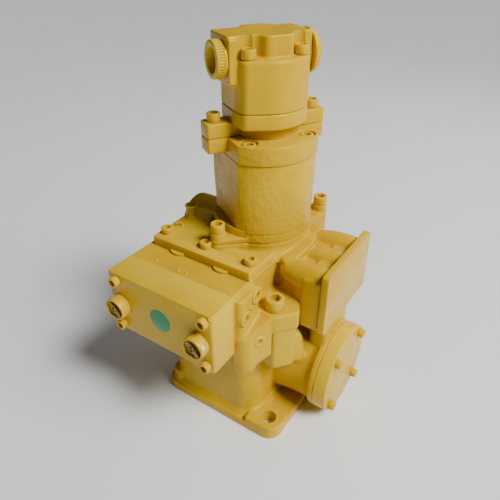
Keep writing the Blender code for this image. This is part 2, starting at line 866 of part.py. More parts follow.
# Upper casting
def make_port_block():
    deck = rectangle(deck_left, deck_right, deck_front, deck_back, deck_corner, 4)
    shell = flat_shape([deck], upper_base, deck_level, wall_edge)
    low = upper_base - front_pad_drop
    pad = rectangle(
        deck_left + 0.003, deck_right - 0.002, deck_front, body_front - 0.0015, 0.006, 3
    )
    shell = join(shell, flat_shape([pad], low, deck_level - 0.01, 0))
    boss = rectangle(
        servo_boss_left, servo_boss_right, deck_front, servo_boss_back, servo_boss_corner, 4
    )
    low = upper_base - servo_boss_drop
    boss_solid = flat_shape([boss], low, deck_level - servo_boss_top, 0.003)
    clear = 0.0015
    keep_out = rectangle(
        body_left - clear,
        body_right + clear,
        body_front - clear,
        body_back + clear,
        body_corner + clear,
        5,
    )
    lug_top = upper_base + lug_thickness
    arm_low = upper_base - arm_drop
    inner_low = upper_base - arm_inner_drop
    outer_x = lug_bolt_x + arm_corner[0]
    outer_y = lug_bolt_y + arm_corner[1]
    arm = slanted(
        [
            (outer_x, outer_y, lug_top - 0.001),
            (arm_x, arm_y, upper_base + arm_rise),
            (servo_end_x, arm_y + 0.002, upper_base + arm_rise),
            (servo_end_x, lug_bolt_y, lug_top - 0.001),
            (outer_x, outer_y, inner_low),
            (arm_x, arm_y, arm_low),
            (servo_end_x, arm_y + 0.002, arm_low),
            (servo_end_x, lug_bolt_y, inner_low),
        ],
        wall_edge,
    )
    start = (servo_end_x, servo_end_y, upper_base - servo_end_drop)
    length = servo_end_drop + arm_rise + wall_edge
    servo_end = rod(start, up, servo_end_radius, length, bore_steps, 0.003)
    boss_solid = join(boss_solid, servo_end, arm)
    rib_room = flat_shape([rib_outline(clear)], joint_level - post_rise, upper_base)
    boss_solid = cut(boss_solid, flat_shape([keep_out], 0, upper_base), rib_room)
    shell = join(shell, boss_solid)
    seat = [
        (0, seat_level),
        (seat_radius - 0.0015, seat_level),
        (seat_radius, seat_level - 0.0015),
        (seat_radius, seat_level - seat_height * 0.55),
        (seat_foot_radius, deck_level + 0.001),
        (seat_foot_radius + seat_foot_flare, deck_level - 0.004),
        (0, deck_level - 0.004),
    ]
    shell = join(shell, turned(seat, (0, 0, 0), up))
    neck = block(
        (deck_right - 0.02, -port_half_width, upper_base + port_drop),
        (port_neck_end, port_half_width, hump_level),
        0.003,
    )
    shell = join(shell, neck)
    for i in (-1, 0, 1):
        start = (deck_right - 0.012, i * hump_pitch, hump_level)
        length = port_neck_end - start[0] - 0.0005
        shell = join(shell, rod(start, out_x, hump_radius, length, 18))
    start = (deck_left + 0.03, suction_y, suction_level)
    length = start[0] - suction_end
    shell = join(shell, rod(start, (-1, 0, 0), suction_radius, length, 24, 0.002))
    x, y = lug_bolt_x, lug_bolt_y
    inner = deck_right - 0.02
    corners = [(inner, y + lug_inner_y[0])]
    corners += [(x + side_x, y + side_y) for side_x, side_y in lug_corners]
    corners.append((inner, y + lug_inner_y[1]))
    lug = rounded(corners, lug_corner_radius, 3)
    shell = join(shell, flat_shape([lug], upper_base, lug_top, lug_edge))
    shoulder = block(
        (deck_right - 0.015, shoulder_front, hump_level - shoulder_drop),
        (shoulder_right, shoulder_back, deck_level - gap),
        0.005,
        2,
    )
    shell = join(shell, shoulder)
    x, y = lug_back_x, lug_back_y
    back_lug = rectangle(x - lug_reach, x + lug_reach, deck_back - 0.02, y + lug_reach, 0.012, 3)
    shell = join(shell, flat_shape([back_lug], upper_base, lug_top, lug_edge))
    for x, y, z in mid_lug_points:
        shell = join(shell, lug_solid(x, y, deck_level - 0.01, seat_level))
    for y, rise in plug_places:
        z = upper_base + rise
        plug = rod((servo_boss_right - 0.004, y, z), out_x, plug_radius, 0.004 + plug_height, 14)
        hexagon = rod((servo_boss_right - 0.001, y, z), out_x, plug_socket, 0.01, 6)
        shell = cut(join(shell, plug), hexagon)

    # Passages, shaft bore and bearing seat
    passage_level = upper_base + deck_thickness / 2
    bore = [
        (0, seat_level + 0.01),
        (upper_shaft_radius + 0.004, seat_level + 0.01),
        (upper_shaft_radius + 0.004, upper_base + rear_bearing_thickness + gap),
        (rear_bearing_radius + gap, upper_base + rear_bearing_thickness + gap),
        (rear_bearing_radius + gap, upper_base - 0.01),
        (0, upper_base - 0.01),
    ]
    shell = cut(shell, turned(bore, (0, 0, 0), up, bore_steps))
    for side in (0, math.pi):
        slot = kidney(piston_pitch_radius, kidney_radius, side, kidney_angle, 3)
        shell = cut(shell, flat_shape([slot], upper_base - 0.01, passage_level + 0.004))
    start = (piston_pitch_radius - 0.002, 0, passage_level)
    shell = cut(shell, rod(start, out_x, port_bore_radius, port_neck_end, 12))
    start = (-piston_pitch_radius, suction_y, suction_level)
    shell = cut(shell, rod(start, (-1, 0, 0), suction_bore_radius, -suction_end, 20))
    for x in cap_x:
        start = (x, deck_front - 0.01, cap_z)
        shell = cut(shell, rod(start, (0, 1, 0), spool_radius + gap, 0.03, small_steps))
    for point in control_screw_points:
        shell = cut(shell, screw_hole(point, out_front, screw_m8, control_depth + gap))
    for point in plate_screw_points:
        shell = cut(shell, screw_hole(point, up, screw_m8, plate_grip))
    for point in lug_points:
        shell = cut(shell, screw_hole(point, up, screw_m16, lug_thickness + gap))
    for point in mid_lug_points:
        shell = cut(shell, screw_hole(point, up, screw_m12, mid_flange_thickness + gap))
    finish("port_block", shell, paint_look)


def make_round_cover():
    start = (neck_end + gap, neck_y, neck_z)
    cover = rod(start, out_x, neck_rim_radius, round_cover_thickness, round_steps, round_cover_edge)
    for point in cover_screw_points:
        cover = cut(cover, screw_hole(point, out_x, screw_m8, round_cover_thickness + gap))
    finish("round_cover", cover, paint_look, start)
    for i, point in enumerate(cover_screw_points):
        screw = screw_shape(point, out_x, screw_m8, round_cover_thickness + gap)
        finish(f"round_cover_screw_{i + 1}", screw, paint_look, point)


def make_port_plate():
    low = (port_neck_end + gap, -port_plate_half_width, port_plate_low)
    outline = rectangle(
        -port_plate_half_width,
        port_plate_half_width,
        port_plate_low,
        port_plate_low + port_plate_height,
        port_plate_corner,
        4,
    )
    plate = flat_shape([outline], 0, port_plate_thickness, 0.001)
    plate.matrix_world = Matrix.Translation((low[0], 0, 0)) @ Matrix(
        ((0, 0, 1, 0), (1, 0, 0, 0), (0, 1, 0, 0), (0, 0, 0, 1))
    )
    bpy.context.view_layer.update()
    finish("port_cover_plate", settle(plate), paint_look, low)


def make_control_block():
    outline = rounded(
        [
            (control_left, control_front, 0.0015),
            (control_right, control_front, control_chamfer),
            (control_right, control_back, 0.0),
            (control_left, control_back, 0.0),
        ],
        0.0,
        1,
    )
    body = flat_shape([outline], control_base, deck_level, 0.001)
    for x in cap_x:
        start = (x, control_front - 0.01, cap_z)
        length = control_depth + 0.02
        body = cut(body, rod(start, (0, 1, 0), spool_radius + gap, length, small_steps))
    for point in control_screw_points:
        body = cut(body, screw_hole(point, out_front, screw_m8, control_depth + gap))
    origin = (0, control_back, control_base)
    finish("control_block", body, paint_look, origin)
    for i, point in enumerate(control_screw_points):
        screw = screw_shape(point, out_front, screw_m8, control_depth + gap)
        finish(f"control_block_screw_{i + 1}", screw, paint_look, point)
    for side, x in zip(("left", "right"), cap_x):
        start = (x, control_front - gap, cap_z)
        profile = [
            (0, cap_length - cap_recess),
            (cap_radius * 0.72, cap_length - cap_recess),
            (cap_radius * 0.80, cap_length),
            (cap_radius - 0.001, cap_length),
            (cap_radius, cap_length - 0.001),
            (cap_radius, 0),
            (0, 0),
        ]
        cap = turned(profile, start, out_front, 20)
        bar = block(
            (x - cap_radius * 0.7, control_front - cap_length, cap_z - 0.0035),
            (x + cap_radius * 0.7, control_front - cap_length + cap_recess + 0.002, cap_z + 0.0035),
        )
        bar.matrix_world = (
            Matrix.Translation((x, 0, cap_z))
            @ Matrix.Rotation(math.radians(-50), 4, "Y")
            @ Matrix.Translation((-x, 0, -cap_z))
        )
        bpy.context.view_layer.update()
        cap = join(cap, settle(bar))
        finish(f"adjuster_cap_{side}", cap, paint_look, start)
        tail = control_front + spool_travel + gap
        middle = (x, tail, cap_z)
        waist = spool_radius * 0.6
        length = spool_length
        spool = [(0, length), (spool_radius, length), (spool_radius, length * 0.8)]
        spool += [(waist, length * 0.8), (waist, length * 0.6)]
        spool += [(spool_radius, length * 0.6), (spool_radius, length * 0.35)]
        spool += [(waist, length * 0.35), (waist, length * 0.15)]
        spool += [(spool_radius, length * 0.15), (spool_radius, 0), (0, 0)]
        solid = turned(spool, middle, (0, 1, 0), small_steps)
        finish(f"control_spool_{side}", solid, steel_look, middle)


def make_top_plate():
    low = deck_level + gap
    outline = rectangle(plate_left, plate_right, plate_front, plate_back, 0.002, 1)
    plate = flat_shape([outline], low, plate_top, 0.0008)
    room = seat_foot_radius + seat_foot_flare + plate_clearance
    plate = cut(plate, rod((0, 0, deck_level - 0.01), up, room, seat_radius, 36))
    for x, y, z in mid_lug_points:
        plate = cut(plate, lug_solid(x, y, low - 0.005, mid_base, plate_clearance))
    for x in plate_boss_x:
        boss = rod((x, plate_front + 0.010, low), up, plate_boss_radius, plate_thickness * 0.55, 18)
        plate = join(plate, boss)
    for point in plate_screw_points:
        plate = cut(plate, screw_hole(point, up, screw_m8, plate_grip))
    finish("top_plate", plate, paint_look, (0, 0, low))
    for i, point in enumerate(plate_screw_points):
        screw = screw_shape(point, up, screw_m8, plate_grip)
        finish(f"top_plate_screw_{i + 1}", screw, paint_look, point)
    start = (hollow_plug_x, hollow_plug_y, plate_top + gap)
    profile = [(0, 0.003), (hollow_plug_bore, 0.003), (hollow_plug_bore, hollow_plug_height)]
    profile += [(hollow_plug_radius - 0.001, hollow_plug_height)]
    profile += [(hollow_plug_radius, hollow_plug_height - 0.001), (hollow_plug_radius, 0), (0, 0)]
    finish("case_drain_plug", turned(profile, start, up, 14), paint_look, start)


def mid_outline(radius, flat, steps=9):
    # A circle with a flat on the left and right of the turned pump.
    opening = math.acos(flat / radius)
    right = arc(radius, opening, math.pi - opening, steps)
    left = arc(radius, math.pi + opening, 2 * math.pi - opening, steps)
    return right + left


def turned_outline(outline, angle):
    turn = Matrix.Rotation(angle, 2)
    return [tuple(turn @ Vector(point)) for point in outline]


def make_mid_pump():
    flange = circle((0, 0), mid_flange_radius, 32)
    body = flat_shape([flange], mid_base, mid_flange_top + 0.002)
    shape = turned_outline(mid_outline(mid_radius, mid_flat), mid_turn)
    body = join(body, flat_shape([shape], mid_flange_top, mid_top, 0.0012))
    for x, y, z in mid_lug_points:
        body = join(body, lug_solid(x, y, mid_base, mid_flange_top))
    pitch = mid_centre_distance / 2
    tip = pitch + addendum_share * mid_centre_distance / tooth_count + running_gap
    idler = around(mid_centre_distance, mid_gear_direction, 0)
    for x, y in ((0, 0), idler[:2]):
        start = (x, y, mid_gear_base - gap)
        body = cut(body, rod(start, up, tip, mid_height, 20))
    start = (0, 0, mid_base - 0.01)
    body = cut(body, rod(start, up, upper_shaft_radius + 0.002, mid_height, 14))
    start = (idler[0], idler[1], mid_gear_base - idler_pin_length - gap)
    body = cut(body, rod(start, up, idler_pin_radius + gap, mid_height, 12))
    for point in mid_lug_points:
        body = cut(body, screw_hole(point, up, screw_m12, mid_flange_thickness + gap))
    for point in mid_cover_bolt_points:
        body = cut(body, screw_hole(point, up, screw_m10, mid_cover_thickness - mid_cover_bolt_depth))
    finish("mid_pump_body", body, paint_look, (0, 0, mid_base))
    for side, point in zip(("left", "right"), mid_lug_points):
        screw = screw_shape(point, up, screw_m12, mid_flange_thickness + gap)
        finish(f"mid_pump_bolt_{side}", screw, paint_look, point)

    shape = turned_outline(mid_outline(mid_cover_radius, mid_flat), mid_turn)
    cover = flat_shape([shape], mid_cover_base, mid_cover_top, 0.0012)
    reach = ear_bolt_u + ear_reach
    ear = rectangle(-reach, reach, -ear_half_width, ear_half_width, 0.004, 3)
    ear = turned_outline(ear, mid_turn)
    cover = join(cover, flat_shape([ear], mid_cover_top - 0.017, mid_cover_top, 0.0012))
    start = (0, 0, mid_base)
    cover = cut(cover, rod(start, up, upper_shaft_radius + 0.002, 0.2, 14))
    start = (idler[0], idler[1], mid_gear_base)
    depth = mid_gear_width + idler_pin_length + gap
    cover = cut(cover, rod(start, up, idler_pin_radius + gap, depth, 12))
    for point in mid_cover_bolt_points:
        grip = mid_cover_thickness - mid_cover_bolt_depth
        cover = cut(cover, screw_hole(point, up, screw_m10, grip))
        cover = cut(cover, rod(point, up, screw_m10[0] + 0.0015, 0.03, small_steps))
    for point in ear_points:
        cover = cut(cover, screw_hole(point, up, screw_m10, ear_thickness))
    finish("mid_pump_cover", cover, paint_look, (0, 0, mid_cover_base))
    for i, point in enumerate(mid_cover_bolt_points):
        grip = mid_cover_thickness - mid_cover_bolt_depth
        screw = screw_shape(point, up, screw_m10, grip)
        finish(f"mid_cover_bolt_{i + 1}", screw, paint_look, point)


def make_top_pump():
    reach = ear_bolt_u + ear_reach
    ear = rectangle(-reach, reach, -ear_half_width, ear_half_width, 0.004, 3)
    base = flat_shape([ear], top_base, ear_top, 0.0012)
    neck = circle((0, 0), top_neck_radius, 28)
    base = join(base, flat_shape([neck], top_base, top_body_base + 0.002))
    shape = mid_outline(top_radius, top_half_width, 8)
    band = flat_shape([shape], top_body_base, top_split, 0.001)
    base = join(base, band)
    base = cut(base, rod((0, 0, top_base - 0.01), up, upper_shaft_radius + 0.002, top_height, 14))
    idler = (0, -top_centre_distance)
    start = (*idler, top_split - idler_pin_length)
    base = cut(base, rod(start, up, idler_pin_radius + gap, top_height, 12))
    base = turn_z(base, mid_turn)
    for point in ear_points:
        base = cut(base, screw_hole(point, up, screw_m10, ear_thickness))
    for point in top_screw_points:
        base = cut(base, screw_hole(point, up, screw_m10, top_screw_grip))
    finish("gear_pump_flange", base, paint_look, (0, 0, top_base))

    low = top_split + gap
    body = flat_shape([shape], low, top_body_top, 0.002)
    depth = top_cover_half_depth
    boss = top_cover_boss_half
    outline = [
        (top_cover_left, -depth),
        (-boss - 0.006, -depth, 0.006),
        (-boss, -top_cover_boss_reach, 0.010),
        (boss, -top_cover_boss_reach, 0.010),
        (boss + 0.006, -depth, 0.006),
        (top_cover_right, -depth),
        (top_cover_right, depth),
        (boss + 0.006, depth, 0.006),
        (boss, top_cover_boss_reach, 0.010),
        (-boss, top_cover_boss_reach, 0.010),
        (-boss - 0.006, depth, 0.006),
        (top_cover_left, depth),
    ]
    crown = flat_shape([rounded(outline, 0.002, 2)], top_body_top - 0.004, top_cover_top, 0.0012)
    body = join(body, crown)
    inner_side = -top_half_width + 0.001
    cheek = block(
        (top_cover_left + 0.0006, -depth + 0.0011, top_body_top - cheek_drop),
        (inner_side, depth - 0.0011, top_body_top + 0.006),
        0.0015,
    )
    body = join(body, cheek)
    pitch = top_centre_distance / 2
    tip = pitch + addendum_share * top_centre_distance / tooth_count + running_gap
    room = top_gear_base + top_gear_width + gap - low
    for v in (0, -top_centre_distance):
        body = cut(body, rod((0, v, low - 0.01), up, tip, room + 0.01, 20))
    bore = room + shaft_tail + 2 * gap
    body = cut(body, rod((0, 0, low - 0.01), up, upper_shaft_radius + gap, bore + 0.01, 14))
    bore = room + idler_pin_length + gap
    body = cut(body, rod((*idler, low - 0.01), up, idler_pin_radius + gap, bore + 0.01, 12))
    start = (-pitch, collar_v, port_axis_level)
    body = cut(body, rod(start, (-1, 0, 0), collar_bore - 0.002, 0.2, 16))
    drop = rod((-pitch, collar_v, top_gear_base), up, 0.005, port_axis_level - top_gear_base, 8)
    body = cut(body, drop)
    body = turn_z(body, mid_turn)
    for point in top_screw_points:
        body = cut(body, screw_hole(point, up, screw_m10, top_screw_grip))
        head_room = rod(point, up, screw_m10[0] + 2 * bolt_clearance, 0.04, small_steps)
        body = cut(body, head_room)
    finish("gear_pump_body", body, paint_look, (0, 0, low))
    for side, point in zip(("left", "right"), ear_points):
        screw = screw_shape(point, up, screw_m10, ear_thickness)
        finish(f"gear_pump_bolt_{side}", screw, paint_look, point)
    for side, point in zip(("left", "right"), top_screw_points):
        screw = screw_shape(point, up, screw_m10, top_screw_grip)
        finish(f"gear_body_bolt_{side}", screw, paint_look, point)

    start = top_place(top_cover_left - gap, collar_v, port_axis_level)
    direction = tuple(-Vector((math.cos(mid_turn), math.sin(mid_turn), 0)))
    profile = [
        (collar_radius - 0.001, collar_length),
        (collar_radius, collar_length - 0.001),
        (collar_radius, 0.001),
        (collar_radius - 0.001, 0),
        (collar_bore, 0),
        (collar_bore, collar_length),
    ]
    collar = turned(profile, start, direction, 24, closed=True)
    finish("port_collar_left", collar, paint_look, start)
    start = top_place(top_half_width + gap, collar_v, port_axis_level)
    direction = (math.cos(mid_turn), math.sin(mid_turn), 0)
    profile = [
        (0, dome_length),
        (dome_radius * 0.55, dome_length),
        (dome_radius * 0.82, dome_length - 0.002),
        (dome_radius * 0.97, dome_length - 0.006),
        (dome_radius, dome_length - 0.009),
        (dome_radius, 0),
        (0, 0),
    ]
    finish("port_cap_right", turned(profile, start, direction, 24), paint_look, start)


def make_joint_bolts():
    for side, point in zip(("front", "back"), lug_points):
        screw = screw_shape(point, up, screw_m16, lug_thickness + gap)
        finish(f"joint_bolt_{side}", screw, paint_look, point)


def make_shaft_line():
    shoulder = upper_base + rear_bearing_thickness
    top = top_gear_base + top_gear_width + shaft_tail
    profile = [
        (0, top),
        (upper_shaft_radius - 0.001, top),
        (upper_shaft_radius, top - 0.001),
        (upper_shaft_radius, shoulder),
        (shaft_radius, shoulder),
        (shaft_radius, shaft_end_level + 0.001),
        (shaft_radius - 0.001, shaft_end_level),
        (0, shaft_end_level),
    ]
    finish("drive_shaft", turned(profile, (0, 0, 0), up, bore_steps), steel_look)
    inner = shaft_radius + gap
    seal = ring((0, 0, seal_level), up, seal_radius, inner, seal_thickness, bore_steps)
    finish("shaft_seal", seal, rubber_look, (0, 0, seal_level))
    for name, radius, level, thickness in (
        ("front_bearing", bearing_radius, bearing_level, bearing_thickness),
        ("rear_bearing", rear_bearing_radius, upper_base, rear_bearing_thickness),
    ):
        shape = ring((0, 0, level), up, radius, inner, thickness, bore_steps)
        start = (0, 0, level + thickness - 0.002)
        groove = ring(start, up, radius - 0.004, inner + 0.004, 0.01, bore_steps)
        finish(name, cut(shape, groove), steel_look, (0, 0, level))


def make_rotating_group():
    base = swash_face - swash_thickness
    tail = servo_y - servo_radius
    plate = rod((0, 0, base), up, swash_radius, swash_thickness, round_steps, 0.0006)
    arm = block(
        (-swash_arm_half_width, tail, base),
        (swash_arm_half_width, -swash_bore - 0.006, swash_face),
        0.0006,
    )
    plate = join(plate, arm)
    plate = cut(plate, rod((0, 0, base - 0.01), up, swash_bore, 0.05, 24))
    pivot = (0, swash_pivot_y, base + swash_thickness / 2)
    finish("swashplate", plate, dark_steel_look, pivot)

    barrel = rod((0, 0, barrel_base), up, barrel_radius, barrel_top - barrel_base, round_steps, 0.001)
    barrel = cut(barrel, rod((0, 0, 0), up, shaft_radius + gap, 0.3, 20))
    for i in range(piston_count):
        angle = math.pi / 2 + 2 * math.pi * i / piston_count
        start = around(piston_pitch_radius, angle, barrel_base - 0.01)
        length = bore_top - barrel_base + 0.01
        barrel = cut(barrel, rod(start, up, piston_radius + gap, length, small_steps))
        start = around(piston_pitch_radius, angle, bore_top - 0.01)
        barrel = cut(barrel, rod(start, up, kidney_radius, 0.05, 6))
    finish("cylinder_barrel", barrel, steel_look, (0, 0, barrel_base))

    holes = [circle((0, 0), shaft_radius + gap, 20)]
    for i in range(piston_count):
        angle = math.pi / 2 + 2 * math.pi * i / piston_count
        centre = around(piston_pitch_radius, angle, 0)
        holes.append(circle(centre[:2], slipper_radius + gap, small_steps))
        profile = [
            (0, piston_top - slipper_base),
            (piston_radius, piston_top - slipper_base),
            (piston_radius, slipper_thickness + piston_neck_length + 0.003),
            (piston_neck_radius, slipper_thickness + piston_neck_length),
            (piston_neck_radius, slipper_thickness),
            (slipper_radius, slipper_thickness),
            (slipper_radius, 0),
            (0, 0),
        ]
        start = around(piston_pitch_radius, angle, slipper_base)
        piston = turned(profile, start, up, small_steps)
        finish(f"piston_{i + 1}", piston, steel_look, start)
    rim = circle((0, 0), swash_radius, round_steps)
    level = slipper_base + gap
    retainer = flat_shape([rim] + holes, level, level + retainer_thickness)
    finish("retainer_plate", retainer, bronze_look, (0, 0, level))

    outline = [circle((0, 0), valve_plate_radius, round_steps)]
    outline.append(circle((0, 0), valve_plate_bore, 20))
    for side in (0, math.pi):
        outline.append(kidney(piston_pitch_radius, kidney_radius, side, kidney_angle, 4))
    plate = flat_shape(outline, valve_plate_base, joint_level)
    finish("valve_plate", plate, bronze_look, (0, 0, valve_plate_base))

    ball = servo_ball_radius
    start = (0, servo_y, slipper_base)
    profile = [(0, servo_length), (servo_radius, servo_length), (servo_radius, ball * 2)]
    profile += [(ball * 0.6, ball * 2)]
    for i in range(1, 5):
        angle = math.radians(55) - math.radians(145) * i / 4
        profile.append((ball * math.cos(angle), ball + ball * math.sin(angle)))
    profile[-1] = (0, 0)
    servo = turned(profile, start, up, small_steps)
    finish("servo_piston", servo, steel_look, start)


def gear(name, centre, centre_distance, base, width, phase, shaft_hole):
    outline = [gear_outline(centre_distance, phase)]
    if shaft_hole:
        outline.append(circle((0, 0), upper_shaft_radius + gap, 14))
    shape = flat_shape(outline, 0, width)
    if not shaft_hole:
        length = width + 2 * idler_pin_length
        shape = join(shape, rod((0, 0, -idler_pin_length), up, idler_pin_radius, length, 12))
    shape.matrix_world = Matrix.Translation((centre[0], centre[1], base))
    bpy.context.view_layer.update()
    finish(name, settle(shape), steel_look, (centre[0], centre[1], base))


def make_gears():
    step = math.pi / tooth_count
    direction = mid_gear_direction
    centre = around(mid_centre_distance, direction, 0)
    gear("mid_drive_gear", (0, 0), mid_centre_distance, mid_gear_base, mid_gear_width, direction, True)
    gear(
        "mid_idler_gear",
        centre,
        mid_centre_distance,
        mid_gear_base,
        mid_gear_width,
        direction + math.pi + step,
        False,
    )
    direction = mid_turn - math.pi / 2
    centre = around(top_centre_distance, direction, 0)
    gear("top_drive_gear", (0, 0), top_centre_distance, top_gear_base, top_gear_width, direction, True)
    gear(
        "top_idler_gear",
        centre,
        top_centre_distance,
        top_gear_base,
        top_gear_width,
        direction + math.pi + step,
        False,
    )


make_housing()
make_port_block()
make_round_cover()
make_port_plate()
make_control_block()
make_top_plate()
make_joint_bolts()
make_mid_pump()
make_top_pump()
make_shaft_line()
make_rotating_group()
make_gears()
for leftover in list(tools.objects):
    if leftover.type == "CURVE":
        bpy.data.objects.remove(leftover, do_unlink=True)
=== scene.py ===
import math

import bmesh
import bpy
from mathutils import Matrix, Vector


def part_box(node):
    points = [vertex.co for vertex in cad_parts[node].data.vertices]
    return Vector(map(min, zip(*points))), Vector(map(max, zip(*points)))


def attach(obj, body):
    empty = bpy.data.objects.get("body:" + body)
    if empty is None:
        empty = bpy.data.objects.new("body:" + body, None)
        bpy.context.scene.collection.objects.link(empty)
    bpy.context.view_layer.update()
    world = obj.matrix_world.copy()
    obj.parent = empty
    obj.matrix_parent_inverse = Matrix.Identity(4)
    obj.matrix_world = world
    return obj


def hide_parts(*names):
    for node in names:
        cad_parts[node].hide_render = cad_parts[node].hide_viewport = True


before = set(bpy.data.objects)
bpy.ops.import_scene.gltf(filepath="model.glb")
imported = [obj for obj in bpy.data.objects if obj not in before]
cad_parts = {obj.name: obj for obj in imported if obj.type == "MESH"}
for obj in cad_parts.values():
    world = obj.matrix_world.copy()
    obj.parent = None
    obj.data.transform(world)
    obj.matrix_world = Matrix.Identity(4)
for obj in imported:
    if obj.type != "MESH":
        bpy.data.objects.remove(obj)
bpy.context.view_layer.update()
mm = 0.001
coarse = 1.0
xAxis, yAxis, zAxis = Vector((1, 0, 0)), Vector((0, 1, 0)), Vector((0, 0, 1))
print("frame loaded:", len(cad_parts), "CAD nodes")


# Shapes, all sizes in millimetres
def inScene(name, data):
    obj = bpy.data.objects.new(name, data)
    bpy.context.collection.objects.link(obj)
    return obj


def fromBmesh(name, bm, outward=True):
    if outward:
        bmesh.ops.recalc_face_normals(bm, faces=bm.faces)
    mesh = bpy.data.meshes.new(name)
    bm.to_mesh(mesh)
    bm.free()
    return inScene(name, mesh)


def applied(obj):  # the mesh that the modifiers and the placing make
    bpy.context.view_layer.update()
    graph = bpy.context.evaluated_depsgraph_get()
    mesh = bpy.data.meshes.new_from_object(obj.evaluated_get(graph), depsgraph=graph)
    mesh.transform(obj.matrix_world)
    name = obj.name
    bpy.data.objects.remove(obj, do_unlink=True)
    return inScene(name, mesh)


def placing(place, axis):
    turn = zAxis.rotation_difference(Vector(axis)).to_matrix().to_4x4()
    return Matrix.Translation(Vector(place) * mm) @ turn


def lathe(name, rings, place=(0, 0, 0), axis=(0, 0, 1), steps=64, closed=False, teeth=None):
    # Rings of radius and height, with "hex" for a hexagon and "teeth" for a knurled ring
    bm = bmesh.new()
    loops = []
    for ring in rings:
        radius, height = ring[0] * mm, ring[1] * mm
        if radius == 0:
            loops.append([bm.verts.new((0, 0, height))])
            continue
        loop = []
        for i in range(steps):
            angle = 2 * math.pi * i / steps
            reach = radius
            if ring[2:] == ("hex",):
                reach /= math.cos((angle + math.pi / 6) % (math.pi / 3) - math.pi / 6)
            if ring[2:] == ("teeth",):
                reach -= teeth["depth"] * mm * (0.5 + 0.5 * math.cos(teeth["count"] * angle)) ** 2
            loop.append(bm.verts.new((reach * math.cos(angle), reach * math.sin(angle), height)))
        loops.append(loop)
    pairs = list(zip(loops, loops[1:]))
    if closed:
        pairs.append((loops[-1], loops[0]))
    for first, second in pairs:
        for i in range(steps):
            k = (i + 1) % steps
            if len(first) == 1:
                bm.faces.new((first[0], second[i], second[k]))
            elif len(second) == 1:
                bm.faces.new((first[i], second[0], first[k]))
            else:
                bm.faces.new((first[i], second[i], second[k], first[k]))
    bm.transform(placing(place, axis))
    return fromBmesh(name, bm)


def bar(name, place, axis, radius, length, steps=48, edge=0.0):
    rings = [(0, length), (radius - edge, length), (radius, length - edge)]
    rings += [(radius, edge), (radius - edge, 0), (0, 0)]
    if edge == 0:
        rings = [(0, length), (radius, length), (radius, 0), (0, 0)]
    return lathe(name, rings, place, axis, steps)


def arc(radius, start, end, steps, centre=(0, 0)):
    points = []
    for i in range(steps + 1):
        angle = math.radians(start + (end - start) * i / steps)
        points.append((centre[0] + radius * math.cos(angle), centre[1] + radius * math.sin(angle)))
    return points


def circle(radius, steps, centre=(0, 0)):
    return arc(radius, 0, 360 - 360 / steps, steps - 1, centre)


leastRound = 0.15  # corners with a smaller radius than this stay sharp


def rounded(corners, radius, steps=6):
    # A polygon with round corners; a third number is that corner's own radius
    outline = []
    for i, (x, y, *own) in enumerate(corners):
        corner = Vector((x, y))
        toLast = Vector(corners[i - 1][:2]) - corner
        toNext = Vector(corners[(i + 1) % len(corners)][:2]) - corner
        half = toLast.angle(toNext) / 2
        wanted = own[0] if own else radius
        reach = min(wanted / math.tan(half), 0.49 * toLast.length, 0.49 * toNext.length)
        wanted = reach * math.tan(half)
        if wanted < leastRound:
            outline.append((x, y))
            continue
        middle = (toLast.normalized() + toNext.normalized()).normalized()
        centre = corner + middle * (wanted / math.sin(half))
        start = corner + toLast.normalized() * reach - centre
        end = corner + toNext.normalized() * reach - centre
        sweep = start.angle_signed(end)
        for k in range(steps + 1):
            outline.append(tuple(centre + Matrix.Rotation(-sweep * k / steps, 2) @ start))
    return outline


def rectangle(left, right, front, back, radius=0.0, steps=6):
    return rounded([(left, front), (right, front), (right, back), (left, back)], radius, steps)


softAngle = 38  # edges sharper than this are rounded


def soften(obj, width, segments=3):
    if width <= 0:
        return obj
    bevel = obj.modifiers.new("edge", "BEVEL")
    bevel.width = width * mm
    bevel.segments = segments
    bevel.limit_method = "ANGLE"
    bevel.angle_limit = math.radians(softAngle)
    bevel.use_clamp_overlap = False
    bevel.harden_normals = False
    return applied(obj)


def slab(name, outline, low, high, edge=0.0, segments=3):
    bm = bmesh.new()
    bottom = [bm.verts.new((x * mm, y * mm, low * mm)) for x, y in outline]
    top = [bm.verts.new((x * mm, y * mm, high * mm)) for x, y in outline]
    bm.faces.new(bottom)
    bm.faces.new(top)
    for i in range(len(outline)):
        k = (i + 1) % len(outline)
        bm.faces.new((bottom[i], bottom[k], top[k], top[i]))
    return soften(fromBmesh(name, bm), edge, segments)


def brick(name, low, high, edge=0.0):
    outline = [(low[0], low[1]), (high[0], low[1]), (high[0], high[1]), (low[0], high[1])]
    return slab(name, outline, low[2], high[2], edge)


def standing(side=1):  # stands a slab on its edge, facing right, or left where side is -1
    return Matrix(((0, 0, side, 0), (1, 0, 0, 0), (0, 1, 0, 0), (0, 0, 0, 1)))


def hull(name, points, edge=0.0):
    bm = bmesh.new()
    for point in points:
        bm.verts.new(Vector(point) * mm)
    made = bmesh.ops.convex_hull(bm, input=bm.verts)
    inner = [v for v in made["geom_interior"] if isinstance(v, bmesh.types.BMVert)]
    bmesh.ops.delete(bm, geom=inner, context="VERTS")
    bmesh.ops.dissolve_limit(bm, angle_limit=0.01, verts=bm.verts, edges=bm.edges)
    return soften(fromBmesh(name, bm), edge)


def together(name, solids):  # one mesh of several shells
    bm = bmesh.new()
    for solid in solids:
        bm.from_mesh(solid.data)
        bpy.data.objects.remove(solid, do_unlink=True)
    return fromBmesh(name, bm, False)


def combine(target, tool, operation, solver="MANIFOLD"):
    boolean = target.modifiers.new("cut", "BOOLEAN")
    boolean.operation = operation
    boolean.solver = solver
    boolean.object = tool
    made = applied(target)
    bpy.data.objects.remove(tool, do_unlink=True)
    return made


def fuse(target, tool):
    return combine(target, tool, "UNION", "EXACT")


